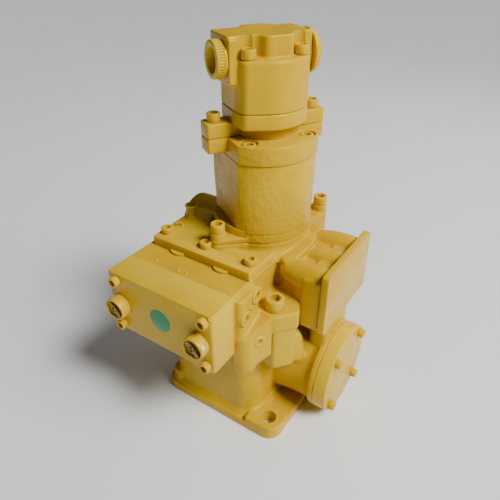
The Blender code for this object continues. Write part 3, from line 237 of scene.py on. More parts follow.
def carve(target, cutters):
    tool = cutters[0]
    for other in cutters[1:]:
        tool = combine(tool, other, "UNION")
    return combine(target, tool, "DIFFERENCE")


sandRipple = 11.0  # how far apart the waves of a sand cast wall lie


def cast(name, solids, voxel, rounds, roughness=0.0):
    # Shells fused into one skin whose corners run into each other as in a casting
    merged = together(name, solids)
    skin = merged.modifiers.new("skin", "REMESH")
    skin.mode = "VOXEL"
    skin.voxel_size = voxel * mm * coarse
    smooth = merged.modifiers.new("soft", "SMOOTH")
    smooth.factor = 0.5
    smooth.iterations = max(1, round(rounds / coarse**2))
    if roughness > 0:
        clouds = bpy.data.textures.new(name, "CLOUDS")
        clouds.noise_scale = sandRipple * mm
        ripple = merged.modifiers.new("sand", "DISPLACE")
        ripple.texture = clouds
        ripple.texture_coords = "GLOBAL"
        ripple.strength = roughness * mm
        ripple.mid_level = 0.5
    return applied(merged)


def faceOff(obj, place, normal):
    # A machined face: what lies beyond the plane is cut away
    bm = bmesh.new()
    bm.from_mesh(obj.data)
    geometry = list(bm.verts) + list(bm.edges) + list(bm.faces)
    made = bmesh.ops.bisect_plane(
        bm, geom=geometry, plane_co=Vector(place) * mm, plane_no=normal, clear_outer=True
    )
    rim = [e for e in made["geom_cut"] if isinstance(e, bmesh.types.BMEdge)]
    bmesh.ops.holes_fill(bm, edges=rim, sides=0)
    bmesh.ops.recalc_face_normals(bm, faces=bm.faces)
    bm.to_mesh(obj.data)
    bm.free()
    return obj


# Shader groups that the finishes share
def newGroup(name, inputs, outputs):
    group = bpy.data.node_groups.new(name, "ShaderNodeTree")
    for title, value in inputs:
        socket = group.interface.new_socket(title, in_out="INPUT", socket_type="NodeSocketFloat")
        socket.default_value = value
    for title, kind in outputs:
        group.interface.new_socket(title, in_out="OUTPUT", socket_type=kind)
    entry = group.nodes.new("NodeGroupInput")
    leave = group.nodes.new("NodeGroupOutput")
    return group, entry, leave


def mathNode(tree, operation, first, second=None, third=None):
    node = tree.nodes.new("ShaderNodeMath")
    node.operation = operation
    for socket, value in zip(node.inputs, (first, second, third)):
        if isinstance(value, (int, float)):
            socket.default_value = value
        elif value is not None:
            tree.links.new(value, socket)
    return node.outputs[0]


def spread(tree, value, low, high, outLow=0.0, outHigh=1.0):
    node = tree.nodes.new("ShaderNodeMapRange")
    node.interpolation_type = "SMOOTHSTEP"
    tree.links.new(value, node.inputs["Value"])
    node.inputs["From Min"].default_value = low
    node.inputs["From Max"].default_value = high
    node.inputs["To Min"].default_value = outLow
    node.inputs["To Max"].default_value = outHigh
    return node.outputs["Result"]


def grainNode(tree, scale, detail=4.0, roughness=0.5, stretch=None):
    # Noise in the object's own coordinates; scale is a number or a socket
    place = tree.nodes.new("ShaderNodeTexCoord").outputs["Object"]
    if stretch:
        mapping = tree.nodes.new("ShaderNodeMapping")
        mapping.inputs["Scale"].default_value = stretch
        tree.links.new(place, mapping.inputs["Vector"])
        place = mapping.outputs["Vector"]
    node = tree.nodes.new("ShaderNodeTexNoise")
    tree.links.new(place, node.inputs["Vector"])
    if isinstance(scale, (int, float)):
        node.inputs["Scale"].default_value = scale
    else:
        tree.links.new(scale, node.inputs["Scale"])
    node.inputs["Detail"].default_value = detail
    node.inputs["Roughness"].default_value = roughness
    return node.outputs["Fac"]


def makeSandSkin():
    # Sand cast skin under thick paint: broad dimples, fine grain and orange peel
    inputs = [("Dimple Scale", 220.0), ("Dimples", 1.0), ("Peel", 1.0)]
    group, entry, leave = newGroup("sandSkin", inputs, [("Height", "NodeSocketFloat")])
    dimples = grainNode(group, entry.outputs["Dimple Scale"], 2.0, 0.55)
    peel = grainNode(group, 700.0, 1.0, 0.4)
    place = group.nodes.new("ShaderNodeTexCoord").outputs["Object"]
    cells = group.nodes.new("ShaderNodeTexVoronoi")
    cells.feature = "SMOOTH_F1"
    group.links.new(place, cells.inputs["Vector"])
    group.links.new(entry.outputs["Dimple Scale"], cells.inputs["Scale"])
    broad = mathNode(group, "MULTIPLY", dimples, entry.outputs["Dimples"])
    pits = mathNode(group, "MULTIPLY", cells.outputs["Distance"], entry.outputs["Dimples"])
    fine = mathNode(group, "MULTIPLY", peel, entry.outputs["Peel"])
    total = mathNode(group, "ADD", mathNode(group, "MULTIPLY_ADD", pits, 0.6, broad), fine)
    group.links.new(total, leave.inputs["Height"])
    return group


def makeEdgeMask():
    # Edge is white where the surface is pointed, and Hollow is white in its inner corners
    inputs = [("Sharpness", 0.55), ("Breakup", 0.5)]
    outputs = [("Edge", "NodeSocketFloat"), ("Hollow", "NodeSocketFloat")]
    group, entry, leave = newGroup("edgeMask", inputs, outputs)
    geometry = group.nodes.new("ShaderNodeNewGeometry")
    noise = grainNode(group, 160.0, 3.0, 0.6)
    centred = mathNode(group, "SUBTRACT", noise, 0.5)
    broken = mathNode(group, "MULTIPLY", centred, entry.outputs["Breakup"])
    point = mathNode(group, "MULTIPLY_ADD", broken, 0.12, geometry.outputs["Pointiness"])
    low = mathNode(group, "SUBTRACT", entry.outputs["Sharpness"], 0.03)
    rise = mathNode(group, "DIVIDE", mathNode(group, "SUBTRACT", point, low), 0.06)
    edge = mathNode(group, "MINIMUM", mathNode(group, "MAXIMUM", rise, 0.0), 1.0)
    group.links.new(edge, leave.inputs["Edge"])
    hollow = spread(group, geometry.outputs["Pointiness"], 0.38, 0.47, 1.0, 0.0)
    group.links.new(hollow, leave.inputs["Hollow"])
    return group


def makeDust():
    # Faint dust that lies on upward faces, thicker in broad patches
    inputs = [("Amount", 0.08)]
    group, entry, leave = newGroup("dust", inputs, [("Mask", "NodeSocketFloat")])
    geometry = group.nodes.new("ShaderNodeNewGeometry")
    split = group.nodes.new("ShaderNodeSeparateXYZ")
    group.links.new(geometry.outputs["Normal"], split.inputs["Vector"])
    upward = spread(group, split.outputs["Z"], 0.35, 1.0)
    patches = spread(group, grainNode(group, 26.0, 5.0, 0.6), 0.42, 0.68)
    patchy = mathNode(group, "MULTIPLY", upward, patches)
    mask = mathNode(group, "MULTIPLY", patchy, entry.outputs["Amount"])
    group.links.new(mask, leave.inputs["Mask"])
    return group


sandSkin = makeSandSkin()
edgeMask = makeEdgeMask()
dustGroup = makeDust()


def placeGroup(tree, group, **values):
    node = tree.nodes.new("ShaderNodeGroup")
    node.node_tree = group
    for title, value in values.items():
        node.inputs[title.replace("_", " ")].default_value = value
    return node


def blendColour(tree, mask, first, second):
    node = tree.nodes.new("ShaderNodeMix")
    node.data_type = "RGBA"
    tree.links.new(mask, node.inputs["Factor"])
    for socket, value in ((node.inputs[6], first), (node.inputs[7], second)):
        if isinstance(value, tuple):
            socket.default_value = (*value, 1.0)
        else:
            tree.links.new(value, socket)
    return node.outputs[2]


def startMaterial(name):
    made = bpy.data.materials.new(name)
    made.use_nodes = True
    tree = made.node_tree
    return made, tree, tree.nodes["Principled BSDF"]


def addBump(tree, shader, height, distance):
    bump = tree.nodes.new("ShaderNodeBump")
    bump.inputs["Strength"].default_value = 1.0
    bump.inputs["Distance"].default_value = distance
    tree.links.new(height, bump.inputs["Height"])
    tree.links.new(bump.outputs["Normal"], shader.inputs["Normal"])


# Yellow machine paint, sprayed over castings and machined pieces alike
paintLook = {
    "body": (0.62, 0.385, 0.004),
    "thick": (0.53, 0.318, 0.002),
    "wornAndLit": (0.76, 0.52, 0.03),
    "dusty": (0.58, 0.40, 0.08),
    "smoothest": 0.23,
    "roughest": 0.42,
    "sheen": (1.0, 0.77, 0.16),
    "specular": 0.42,
    "hollowShade": 0.25,
    "edgeWearAndHighlight": 0.6,
    "dustRoughness": 0.4,
}


def paintFinish(name, dimples, peel, bump, dimpleScale=220.0):
    made, tree, shader = startMaterial(name)
    skin = placeGroup(tree, sandSkin, Dimples=dimples, Peel=peel, Dimple_Scale=dimpleScale)
    edges = placeGroup(tree, edgeMask)
    dusty = placeGroup(tree, dustGroup)
    tone = spread(tree, grainNode(tree, 9.0, 4.0, 0.55), 0.38, 0.66)
    colour = blendColour(tree, tone, paintLook["body"], paintLook["thick"])
    # Painted shade: inner corners are darkened towards a deep brown yellow
    hollow = mathNode(tree, "MULTIPLY", edges.outputs["Hollow"], paintLook["hollowShade"])
    colour = blendColour(tree, hollow, colour, tuple(0.45 * c for c in paintLook["thick"]))
    # Lighter yellow on sharp edges, partly worn paint and partly a painted highlight
    edge = mathNode(tree, "MULTIPLY", edges.outputs["Edge"], paintLook["edgeWearAndHighlight"])
    colour = blendColour(tree, edge, colour, paintLook["wornAndLit"])
    colour = blendColour(tree, dusty.outputs["Mask"], colour, paintLook["dusty"])
    tree.links.new(colour, shader.inputs["Base Color"])
    grain = grainNode(tree, 45.0, 3.0, 0.6)
    base = spread(tree, grain, 0.3, 0.7, paintLook["smoothest"], paintLook["roughest"])
    rough = mathNode(tree, "MULTIPLY_ADD", dusty.outputs["Mask"], paintLook["dustRoughness"], base)
    tree.links.new(rough, shader.inputs["Roughness"])
    shader.inputs["Specular IOR Level"].default_value = paintLook["specular"]
    shader.inputs["Specular Tint"].default_value = (*paintLook["sheen"], 1.0)
    addBump(tree, shader, skin.outputs["Height"], bump * mm)
    return made


castPaint = paintFinish("castPaint", 1.0, 0.5, 0.30)
bodyPaint = paintFinish("sandedBodyPaint", 1.6, 0.6, 0.42, 170.0)
smoothPaint = paintFinish("machinedPaint", 0.15, 0.6, 0.12)


def metalFinish(name, dark, light, roughness, stretch, bump=0.05, scale=60.0):
    made, tree, shader = startMaterial(name)
    lines = grainNode(tree, scale, 5.0, 0.65, stretch)
    stains = spread(tree, grainNode(tree, 30.0, 4.0, 0.6), 0.4, 0.7)
    edges = placeGroup(tree, edgeMask)
    colour = blendColour(tree, lines, dark, light)
    stained = mathNode(tree, "MULTIPLY", stains, 0.3)
    colour = blendColour(tree, stained, colour, tuple(0.6 * c for c in dark))
    bright = mathNode(tree, "MULTIPLY", edges.outputs["Edge"], 0.5)
    colour = blendColour(tree, bright, colour, light)
    tree.links.new(colour, shader.inputs["Base Color"])
    rough = spread(tree, lines, 0.3, 0.7, roughness - 0.08, roughness + 0.12)
    tree.links.new(rough, shader.inputs["Roughness"])
    shader.inputs["Metallic"].default_value = 1.0
    addBump(tree, shader, lines, bump * mm)
    return made


steelFinish = metalFinish("groundSteel", (0.36, 0.36, 0.37), (0.55, 0.55, 0.56), 0.28, (1, 1, 14))
darkSteelFinish = metalFinish("darkSteel", (0.12, 0.12, 0.13), (0.24, 0.24, 0.25), 0.36, (1, 9, 1))
bronzeFinish = metalFinish("bearingBronze", (0.40, 0.22, 0.08), (0.62, 0.40, 0.18), 0.34, (9, 9, 1))
# Dark brown metal for the adjusters' grip and small screw; its darkness is painted shade inside their
# recesses
recessShadeMetal = metalFinish("recessPaintedShade", (0.20, 0.12, 0.04), (0.42, 0.27, 0.10), 0.45, (3, 3, 3), 0.5, 160.0)


def rubberFinish():
    made, tree, shader = startMaterial("sealRubber")
    grain = grainNode(tree, 500.0, 2.0, 0.5)
    bloom = spread(tree, grainNode(tree, 40.0, 4.0, 0.6), 0.45, 0.75)
    colour = blendColour(tree, bloom, (0.016, 0.016, 0.017), (0.05, 0.05, 0.05))
    tree.links.new(colour, shader.inputs["Base Color"])
    tree.links.new(spread(tree, grain, 0.3, 0.7, 0.55, 0.8), shader.inputs["Roughness"])
    addBump(tree, shader, grain, 0.1 * mm)
    return made


def grainyFinish(name, scale, detail, roughness, colours, gloss, bump):
    # One grain that drives colour, roughness and relief
    made, tree, shader = startMaterial(name)
    grain = grainNode(tree, scale, detail, roughness)
    tree.links.new(blendColour(tree, grain, *colours), shader.inputs["Base Color"])
    tree.links.new(spread(tree, grain, 0.3, 0.7, *gloss), shader.inputs["Roughness"])
    addBump(tree, shader, grain, bump * mm)
    return made


rubberLook = rubberFinish()
paleColours = ((0.50, 0.51, 0.50), (0.82, 0.83, 0.82))
greenColours = ((0.0, 0.20, 0.065), (0.0, 0.29, 0.10))
primerLook = grainyFinish("barePrimer", 260.0, 4.0, 0.6, paleColours, (0.4, 0.7), 0.15)
discLook = grainyFinish("greenDisc", 120.0, 3.0, 0.5, greenColours, (0.28, 0.42), 0.05)
print("finishes made:", len(bpy.data.materials))


def settle(obj, look, *nodes, sharp=34):
    # Gives a piece its finish and hangs it on the casing
    mesh = obj.data
    mesh.materials.clear()
    mesh.materials.append(look)
    mesh.polygons.foreach_set("material_index", [0] * len(mesh.polygons))
    mesh.shade_smooth()
    mesh.set_sharp_from_angle(angle=math.radians(sharp))
    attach(obj, "casing")
    if nodes:
        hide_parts(*nodes)
    return obj


def span(node):  # a node's box in millimetres
    low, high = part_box(node)
    return Vector(low) / mm, Vector(high) / mm


def middleOf(node):
    low, high = span(node)
    return (low + high) / 2


def bottomOf(node):
    return span(node)[0].z


def topOf(node):
    return span(node)[1].z


# Socket head screws, at the places of the CAD screws
screwSizes = {
    "headHeights": {6.5: 8.0, 8.0: 10.0, 9.0: 12.0, 12.0: 16.0},  # by head radius
    "holeRadii": {6.5: 4.4, 8.0: 5.4, 9.0: 6.4, 12.0: 8.4},  # by head radius
    "socketShare": 0.56,  # across flats over head diameter
    "socketDepth": 0.58,
    "largeHead": 8.5,  # above this radius the shank is as thick as the head is tall
    "smallShank": 0.62,
    "edge": 0.13,
    "steps": 48,
    "controlGrow": 1.08,  # paint builds up on these heads
    "plateGrow": 1.15,
}
coverScrews = [f"round_cover_screw_{i}" for i in (1, 2, 3, 4)]
controlScrews = [f"control_block_screw_{i}" for i in (1, 2, 3, 4)]
plateScrews = [f"top_plate_screw_{i}" for i in (1, 2, 3)]
jointBolts = ("joint_bolt_front", "joint_bolt_back")
midBolts = ("mid_pump_bolt_left", "mid_pump_bolt_right")
midCoverBolts = ("mid_cover_bolt_1", "mid_cover_bolt_2")
earBolts = ("gear_pump_bolt_left", "gear_pump_bolt_right")
gearBolts = ("gear_body_bolt_left", "gear_body_bolt_right")
adjusterCaps = {"Left": "adjuster_cap_left", "Right": "adjuster_cap_right"}


def mainAxis(direction):  # 0, 1 or 2, for the axis that a direction runs along
    return max(range(3), key=lambda i: abs(direction[i]))


def screwPlace(node, axis):
    # Middle of the head's top, head radius and whole length, read from the CAD screw
    low, high = span(node)
    index = mainAxis(axis)
    others = [i for i in range(3) if i != index]
    tip = (low + high) / 2
    tip[index] = high[index] if axis[index] > 0 else low[index]
    return tip, (high[others[0]] - low[others[0]]) / 2, high[index] - low[index]


def ofScrew(table, radius):  # the value that screwSizes gives for the nearest head radius
    values = screwSizes[table]
    return values[min(values, key=lambda known: abs(known - radius))]


def screwHoles(nodes, axis, start, length=60, steps=24):
    # Holes for the named screws, which begin where the screws' direction reaches start
    holes = []
    for node in nodes:
        place, radius, _ = screwPlace(node, axis)
        place[mainAxis(axis)] = start
        holes.append(bar("screwHole", place, axis, ofScrew("holeRadii", radius), length, steps))
    return holes


def socketScrew(node, axis, grow=1.0):
    tip, radius, length = screwPlace(node, axis)
    tall = ofScrew("headHeights", radius)
    radius *= grow
    half = radius * screwSizes["socketShare"]
    edge = radius * screwSizes["edge"]
    floor = -tall * screwSizes["socketDepth"]
    shank = tall / 2 if radius > screwSizes["largeHead"] else radius * screwSizes["smallShank"]
    rings = [
        (0, floor - half * 0.35),
        (half * 0.86, floor, "hex"),
        (half, floor + 0.4, "hex"),
        (half, -0.5, "hex"),
        (half / math.cos(math.pi / 6) + 0.25, 0),
        (radius - edge * 1.25, 0),
        (radius - edge * 0.55, -edge * 0.22),
        (radius - edge * 0.12, -edge * 0.65),
        (radius, -edge * 1.3),
        (radius, 0.5 - tall),
        (radius - 0.4, -tall),
        (shank + 0.5, -tall),
        (shank, -tall - 0.6),
        (shank, 0.8 - length),
        (shank - 0.8, -length),
        (0, -length),
    ]
    screw = lathe(node + "_head", rings, tip, axis, screwSizes["steps"])
    return settle(screw, smoothPaint, node, sharp=40)


def plugScrew(name, place, axis, radius, rise, socket):
    # A flush plug in its spot face, with a hexagon in the middle
    rings = [
        (0, rise - 3.2),
        (socket, rise - 3.0, "hex"),
        (socket, rise - 0.4, "hex"),
        (socket / math.cos(math.pi / 6) + 0.3, rise),
        (radius - 2.6, rise),
        (radius - 2.2, rise + 0.35),
        (radius - 0.9, rise + 0.35),
        (radius, rise - 0.5),
        (radius, -3.0),
        (0, -3.0),
    ]
    return settle(lathe(name, rings, place, axis, 48), smoothPaint, sharp=40)


# Lower casting
housing = {
    "flangeHalfX": 99.0,
    "flangeHalfY": 120.0,
    "flangeThick": 14.0,
    "flangeCorner": 20.0,
    "holeX": 78.0,
    "holeY": 100.0,
    "holeRadius": 10.5,
    "padTop": 22.5,
    "padInner": 52.0,
    "left": -89.0,
    "right": 57.0,
    "front": -112.0,
    "back": 100.0,
    "corner": 28.0,
    "joint": 187.0,
    "neckRadius": 60.0,
    "rimRadius": 66.0,
    "neckEnd": 123.8,
    "neckY": 2.0,
    "neckZ": 68.5,
    "footSpread": 4.0,
    "webHalf": 11.0,
    "saddleLow": (96.0, -30.0, 118.0),
    "saddleHigh": (121.5, 39.0, 186.0),
    "boltPostRadius": 14.0,
    "boreRadius": 49.0,
    "boreFloor": 36.0,
    "neckBore": 46.0,
    "ledgeLow": (-14.0, 41.0, 20.0),
    "ledgeHigh": (14.0, 60.0, 74.7),
    "servoPlace": (0.0, -58.0, 85.0),
    "servoBore": 9.3,
    "armLow": (-11.0, -70.0, 46.0),
    "armHigh": (11.0, -37.0, 97.0),
    "shaftRoom": 19.0,
    "bearingRoom": 31.3,
    "bearingFloor": 15.7,
    "sealRoom": 25.3,
    "sealTop": 14.3,
    "blindTop": 30.0,
    "throughTop": 60.0,
    "smallPlugs": ((31.0, 160.0), (36.0, 154.0)),
    "smallPlugRadius": 2.6,
    "voxel": 1.25,
    "softness": 26,
    "sand": 0.35,
}
frontBolt, backBolt = (screwPlace(node, zAxis)[0] for node in jointBolts)
lugTop = frontBolt.z - ofScrew("headHeights", 12.0) - 0.3


def flangeSolids(edge):
    h = housing
    outline = rectangle(
        -h["flangeHalfX"], h["flangeHalfX"], -h["flangeHalfY"], h["flangeHalfY"], h["flangeCorner"]
    )
    solids = [slab("flange", outline, 0, h["flangeThick"], edge)]
    for side in (-1, 1):
        near, far = side * (h["holeY"] - 19.5), side * h["flangeHalfY"]
        corners = [
            (h["padInner"], near, 10),
            (h["flangeHalfX"], near, 10),
            (h["flangeHalfX"], far, h["flangeCorner"]),
            (h["padInner"] - 4, far, 4),
        ]
        outline = rounded(corners, 8)
        solids.append(slab("pad", outline, 1, h["padTop"], edge))
    return solids


def neckSolid(rim):
    # The round neck on the right, or only the crisp rim at its end
    h = housing
    length, radius, rimRadius = h["neckEnd"], h["neckRadius"], h["rimRadius"]
    if rim:
        rings = [(0, 0), (rimRadius, 0), (rimRadius, -7.5)]
        rings += [(radius + 1, -11.5), (radius - 3, -40), (0, -40)]
    else:
        rings = [(0, 0), (rimRadius - 0.5, 0), (rimRadius - 0.5, -7), (radius, -16)]
        rings += [(radius, -35), (radius + 3, -62), (radius + 3, -length), (0, -length)]
    return lathe("neck", rings, (length, h["neckY"], h["neckZ"]), xAxis, 96)


def postOutline(grow=0.0):
    # The upright rib under the front lug: a flat outer face and two round flanks
    x, y = frontBolt.x, frontBolt.y
    corners = [
        (37, y - 5 - grow, 1),
        (x + 9 + grow, y - 16.5 - grow),
        (x + 30 + grow, y + 9.2),
        (x + 10 + grow, y + 24 + grow),
        (37, y + 24 + grow, 1),
    ]
    return rounded(corners, 7)


def bodyOutline(grow=0.0):
    h = housing
    sides = (h["left"] - grow, h["right"] + grow, h["front"] - grow, h["back"] + grow)
    return rectangle(*sides, h["corner"] + grow, 10)


def housingRooms():
    # What is hollow in the lower casting: bores, seats and bolt holes
    h = housing
    bore = bar("bore", (0, 0, h["boreFloor"]), zAxis, h["boreRadius"], 200, 64)
    neckBore = bar("neckBore", (22, h["neckY"], h["neckZ"]), xAxis, h["neckBore"], 120, 64)
    keep = brick("keep", (0, -90, -30), (62, 90, h["boreFloor"] + 0.5))
    neckBore = combine(neckBore, keep, "DIFFERENCE")
    bore = combine(bore, brick("ledge", h["ledgeLow"], h["ledgeHigh"]), "DIFFERENCE")
    rooms = [bore, neckBore, bar("servo", h["servoPlace"], zAxis, h["servoBore"], 130, 32)]
    rooms.append(brick("arm", h["armLow"], h["armHigh"]))
    shaft, bearing, seal = h["shaftRoom"], h["bearingRoom"], h["sealRoom"]
    rings = [(0, 50), (shaft, 50), (shaft, 37), (bearing, 37), (bearing, h["bearingFloor"])]
    rings += [(shaft, h["bearingFloor"]), (shaft, h["sealTop"])]
    rings += [(seal, h["sealTop"]), (seal, -1), (0, -1)]
    rooms.append(lathe("shaftBore", rings, steps=48))
    radius = h["holeRadius"]
    for x in (-h["holeX"], h["holeX"]):
        for y in (-h["holeY"], h["holeY"]):
            top = h["blindTop"] if x < 0 else h["throughTop"]
            rings = [(0, top), (radius, top), (radius, 0.8)]
            rings += [(radius + 0.8, -0.1), (radius + 0.8, -5), (0, -5)]
            rooms.append(lathe("hole", rings, (x, y, 0), steps=40))
    return rooms + screwHoles(jointBolts, zAxis, h["joint"] - 28)


def makeHousing():
    h = housing
    rough = flangeSolids(0) + [slab("body", bodyOutline(), 2, h["joint"] + 12), neckSolid(False)]
    rough.append(slab("post", postOutline(), h["joint"] - 64, h["joint"] + 12, 3))
    x, y = frontBolt.x, frontBolt.y
    flank = [(60, y + 30, 171), (x + 28, y + 12, 171), (x + 30, y + 22, 171), (x + 18, y + 32, 171)]
    flank += [(60, y + 30, 106), (x + 22, y + 8, 122), (x + 33, y + 26, 116), (x + 26, y + 48, 100)]
    rough.append(hull("flank", flank, 9))
    rough.append(bar("backPost", (backBolt.x, backBolt.y - 4, h["joint"] - 52), zAxis, 17, 64, 40, 5))
    webLow = (h["right"] - 12, h["neckY"] - h["webHalf"], 118)
    web = brick("web", webLow, (112, h["neckY"] + h["webHalf"], h["joint"] - 2), 3)
    saddle = brick("saddle", h["saddleLow"], h["saddleHigh"], 4)
    foot = slab("foot", bodyOutline(h["footSpread"]), 2, h["flangeThick"] + 7, 4)
    rough += [web, saddle, foot]
    for side in (-1, 1):
        place = (-h["holeX"], side * h["holeY"], 4)
        rough.append(bar("boltPost", place, zAxis, h["boltPostRadius"], 32, 40, 2))
    shape = cast("rough", rough, h["voxel"], h["softness"], h["sand"])
    crisp = flangeSolids(1.2) + [neckSolid(True)]
    shape = cast("pumpHousing", [shape] + crisp, h["voxel"], 3)
    shape = faceOff(shape, (0, 0, 0), -zAxis)
    shape = faceOff(shape, (0, 0, h["joint"]), zAxis)
    shape = faceOff(shape, (h["neckEnd"], 0, 0), xAxis)
    shape = carve(shape, housingRooms())
    settle(shape, castPaint, "pump_housing")
    for i, (x, z) in enumerate(h["smallPlugs"]):  # in the wall under the control block
        place = (x, h["front"] + 1, z)
        plug = bar(f"frontNub_{i + 1}", place, -yAxis, h["smallPlugRadius"], 4.2, 20, 0.8)
        settle(plug, castPaint)


makeHousing()
print("housing made")


# Upper casting
portBlock = {
    "base": 187.3,
    "deck": 255.9,
    "left": -107.0,
    "right": 50.0,
    "front": -140.0,
    "back": 95.0,
    "seat": 274.3,
    "seatRadius": 63.2,
    "seatFoot": 69.0,
    "lugTangent": 57.0,
    "neckHalf": 58.0,
    "neckTop": 249.0,
    "neckEnd": 121.0,
    "faceHalf": 62.0,
    "faceLow": 176.0,
    "humpRadius": 18.5,
    "humpPitch": 42.0,
    "bossRight": 60.0,
    "bossCylinder": (53.5, -124.5, 16.5, 134.5),  # x, y, radius and low end
    "suctionRadius": 36.0,
    "suctionPlace": (-136.0, 26.0, 226.3),
    "armLow": (64.0, -134.0, 196.5),
    "armBottom": 138.0,
    "armInner": 151.0,
    "housingGap": 1.5,
    "shaftRoom": 13.0,
    "bearingRoom": 26.3,
    "bearingDepth": 15.3,
    "suctionBore": 25.0,
    "suctionDepth": 104.0,
    "spoolBore": 7.4,
    "voxel": 1.25,
    "softness": 14,
    "sand": 0.35,
}
midLeftBolt, midRightBolt = (screwPlace(node, zAxis)[0] for node in midBolts)

plugs = {
    "places": ((-129.0, 221.0), (-106.0, 240.0)),
    "radius": 10.5,
    "socket": 4.2,
    "spotFace": 2.2,  # how deep their seat lies in the boss
    "rise": 3.2,
    "armPlace": (72.2, -120.3, 184.7),
    "armFacing": (0.857, -0.515, 0),
    "armRadius": 7.5,
    "armSocket": 3.0,
}
bossPlugs = [(portBlock["bossRight"] - plugs["spotFace"], y, z) for y, z in plugs["places"]]


def lugOutline(bolt, halfWidth, reach, inner):
    # A lug that points away from the shaft's axis round one bolt
    corners = [(inner, -halfWidth), (reach, -halfWidth, 6), (reach, halfWidth, 6), (inner, halfWidth)]
    turn = Matrix.Rotation(math.atan2(bolt.y, bolt.x), 2)
    return [tuple(turn @ Vector(point) + bolt.xy) for point in rounded(corners, 0.2)]


midLug = {"radius": 9.8, "edge": 1.0}  # round each of the middle pump's two bolts


def rhombicLug(name, bolt, ringRadius, low, high):
    # Straight flanks that touch the round flange and the circle about the bolt
    points = []
    for radius, centre in ((midLug["radius"], bolt), (ringRadius, (0, 0))):
        points += circle(radius, 72, centre)
    return hull(name, [(x, y, z) for x, y in points for z in (low, high)], midLug["edge"])


def frontLug():
    x, y = frontBolt.x, frontBolt.y
    corners = [
        (40, y - 12, 1),
        (x + 9.2, y - 17.6),
        (x + 30.9, y + 8.9),
        (x + 17.2, y + 29),
        (40, y + 38, 1),
    ]
    return rounded(corners, 7)


def lugSlabs(edge=0.0):
    back = rectangle(backBolt.x - 20, backBolt.x + 20, 70, backBolt.y + 19, 13)
    return [slab("lug", outline, portBlock["base"], lugTop, edge) for outline in (frontLug(), back)]


def portNeck():
    # The neck narrows towards the deck, and three humps run along its top
    p = portBlock
    half, end = p["neckHalf"], p["neckEnd"]
    root = [(35, -36), (52, -43), (75, -50), (92, -half), (end, -half)]
    root += [(end, half), (73, half), (52, 50), (35, 50)]
    solids = [slab("neck", root, p["base"] + 1, p["neckTop"])]
    for i in (-1, 0, 1):
        radius = p["humpRadius"]
        profile = [(0, 56), (9, 58), (14, 68), (16.8, 80), (18, 90), (radius, 99), (radius, 113)]
        profile += [(radius - 1, end), (0, end)]
        place = (0, i * p["humpPitch"] - 1, p["neckTop"] - 6)
        solids.append(lathe("hump", profile, place, xAxis, 64))
    return solids


def armSolid():
    # The wall that runs from the hanging servo end up to the front lug
    p = portBlock
    x, y = frontBolt.x, frontBolt.y
    lowX, lowY, lowZ = p["armLow"]
    end, outer = p["bossCylinder"][0], (x + 8.2, y - 16)
    points = [(*outer, p["armInner"]), (end, y, p["armInner"])]
    points += [(lowX, lowY, p["armBottom"]), (end, lowY, p["armBottom"])]
    points += [(*outer, lugTop), (end, y, lugTop), (lowX, lowY, lowZ), (end - 2, lowY + 2, lowZ)]
    return hull("arm", points)


def shoulderSolid():
    # It rises from the deck's edge to the seat and ends in a ridge over the humps
    points = [(46, -40, 256.2), (65, -51, 255.8), (71, -46, 256.5), (76, -26, 261), (79.5, -3, 266)]
    points += [(77, 12, 266), (60, 22, 268), (40, 10, 270)]
    points += [(x - 3, y + 2, 236) for x, y, _ in points]
    return hull("shoulder", points, 2.4)


def spoolBores(start, radius):
    middles = [middleOf(node) for node in adjusterCaps.values()]
    return [bar("spoolBore", (m.x, start, m.z), -yAxis, radius, 60, 32) for m in middles]


def portBlockRooms():
    # Room for the neighbours of the upper casting, and its bores and screw holes
    p = portBlock
    base, deck = p["base"], p["deck"]
    rooms = [slab("keepOut", bodyOutline(p["housingGap"]), 80, base)]
    rooms.append(slab("ribRoom", postOutline(1.6), 100, base))
    rooms.append(brick("underNeck", (30, -74, 100), (92, 130, base)))
    rooms.append(brick("webRoom", (86, -33, 100), (130, 42, base)))
    rooms.append(brick("controlRoom", (-130, -220, 120), (50.9, p["front"], 300)))
    shaft, bearing, step = p["shaftRoom"], p["bearingRoom"], base + p["bearingDepth"]
    rings = [(0, 300), (shaft, 300), (shaft, step), (bearing, step), (bearing, 150), (0, 150)]
    rooms.append(lathe("shaftBore", rings, steps=48))
    x, y, z = p["suctionPlace"]
    rooms.append(bar("suctionBore", (x - 5, y, z), xAxis, p["suctionBore"], p["suctionDepth"] + 5, 48))
    rooms += screwHoles(jointBolts, zAxis, 150, 100)
    rooms += screwHoles(midBolts, zAxis, deck - 12)
    rooms += screwHoles(plateScrews, zAxis, deck - 13, 60, 20)
    rooms += screwHoles(controlScrews, -yAxis, -128, 60, 20)
    rooms += spoolBores(-119.5, p["spoolBore"])
    for place in bossPlugs:
        rooms.append(bar("spotFace", place, xAxis, plugs["radius"] + 1.1, 20, 40))
    return rooms


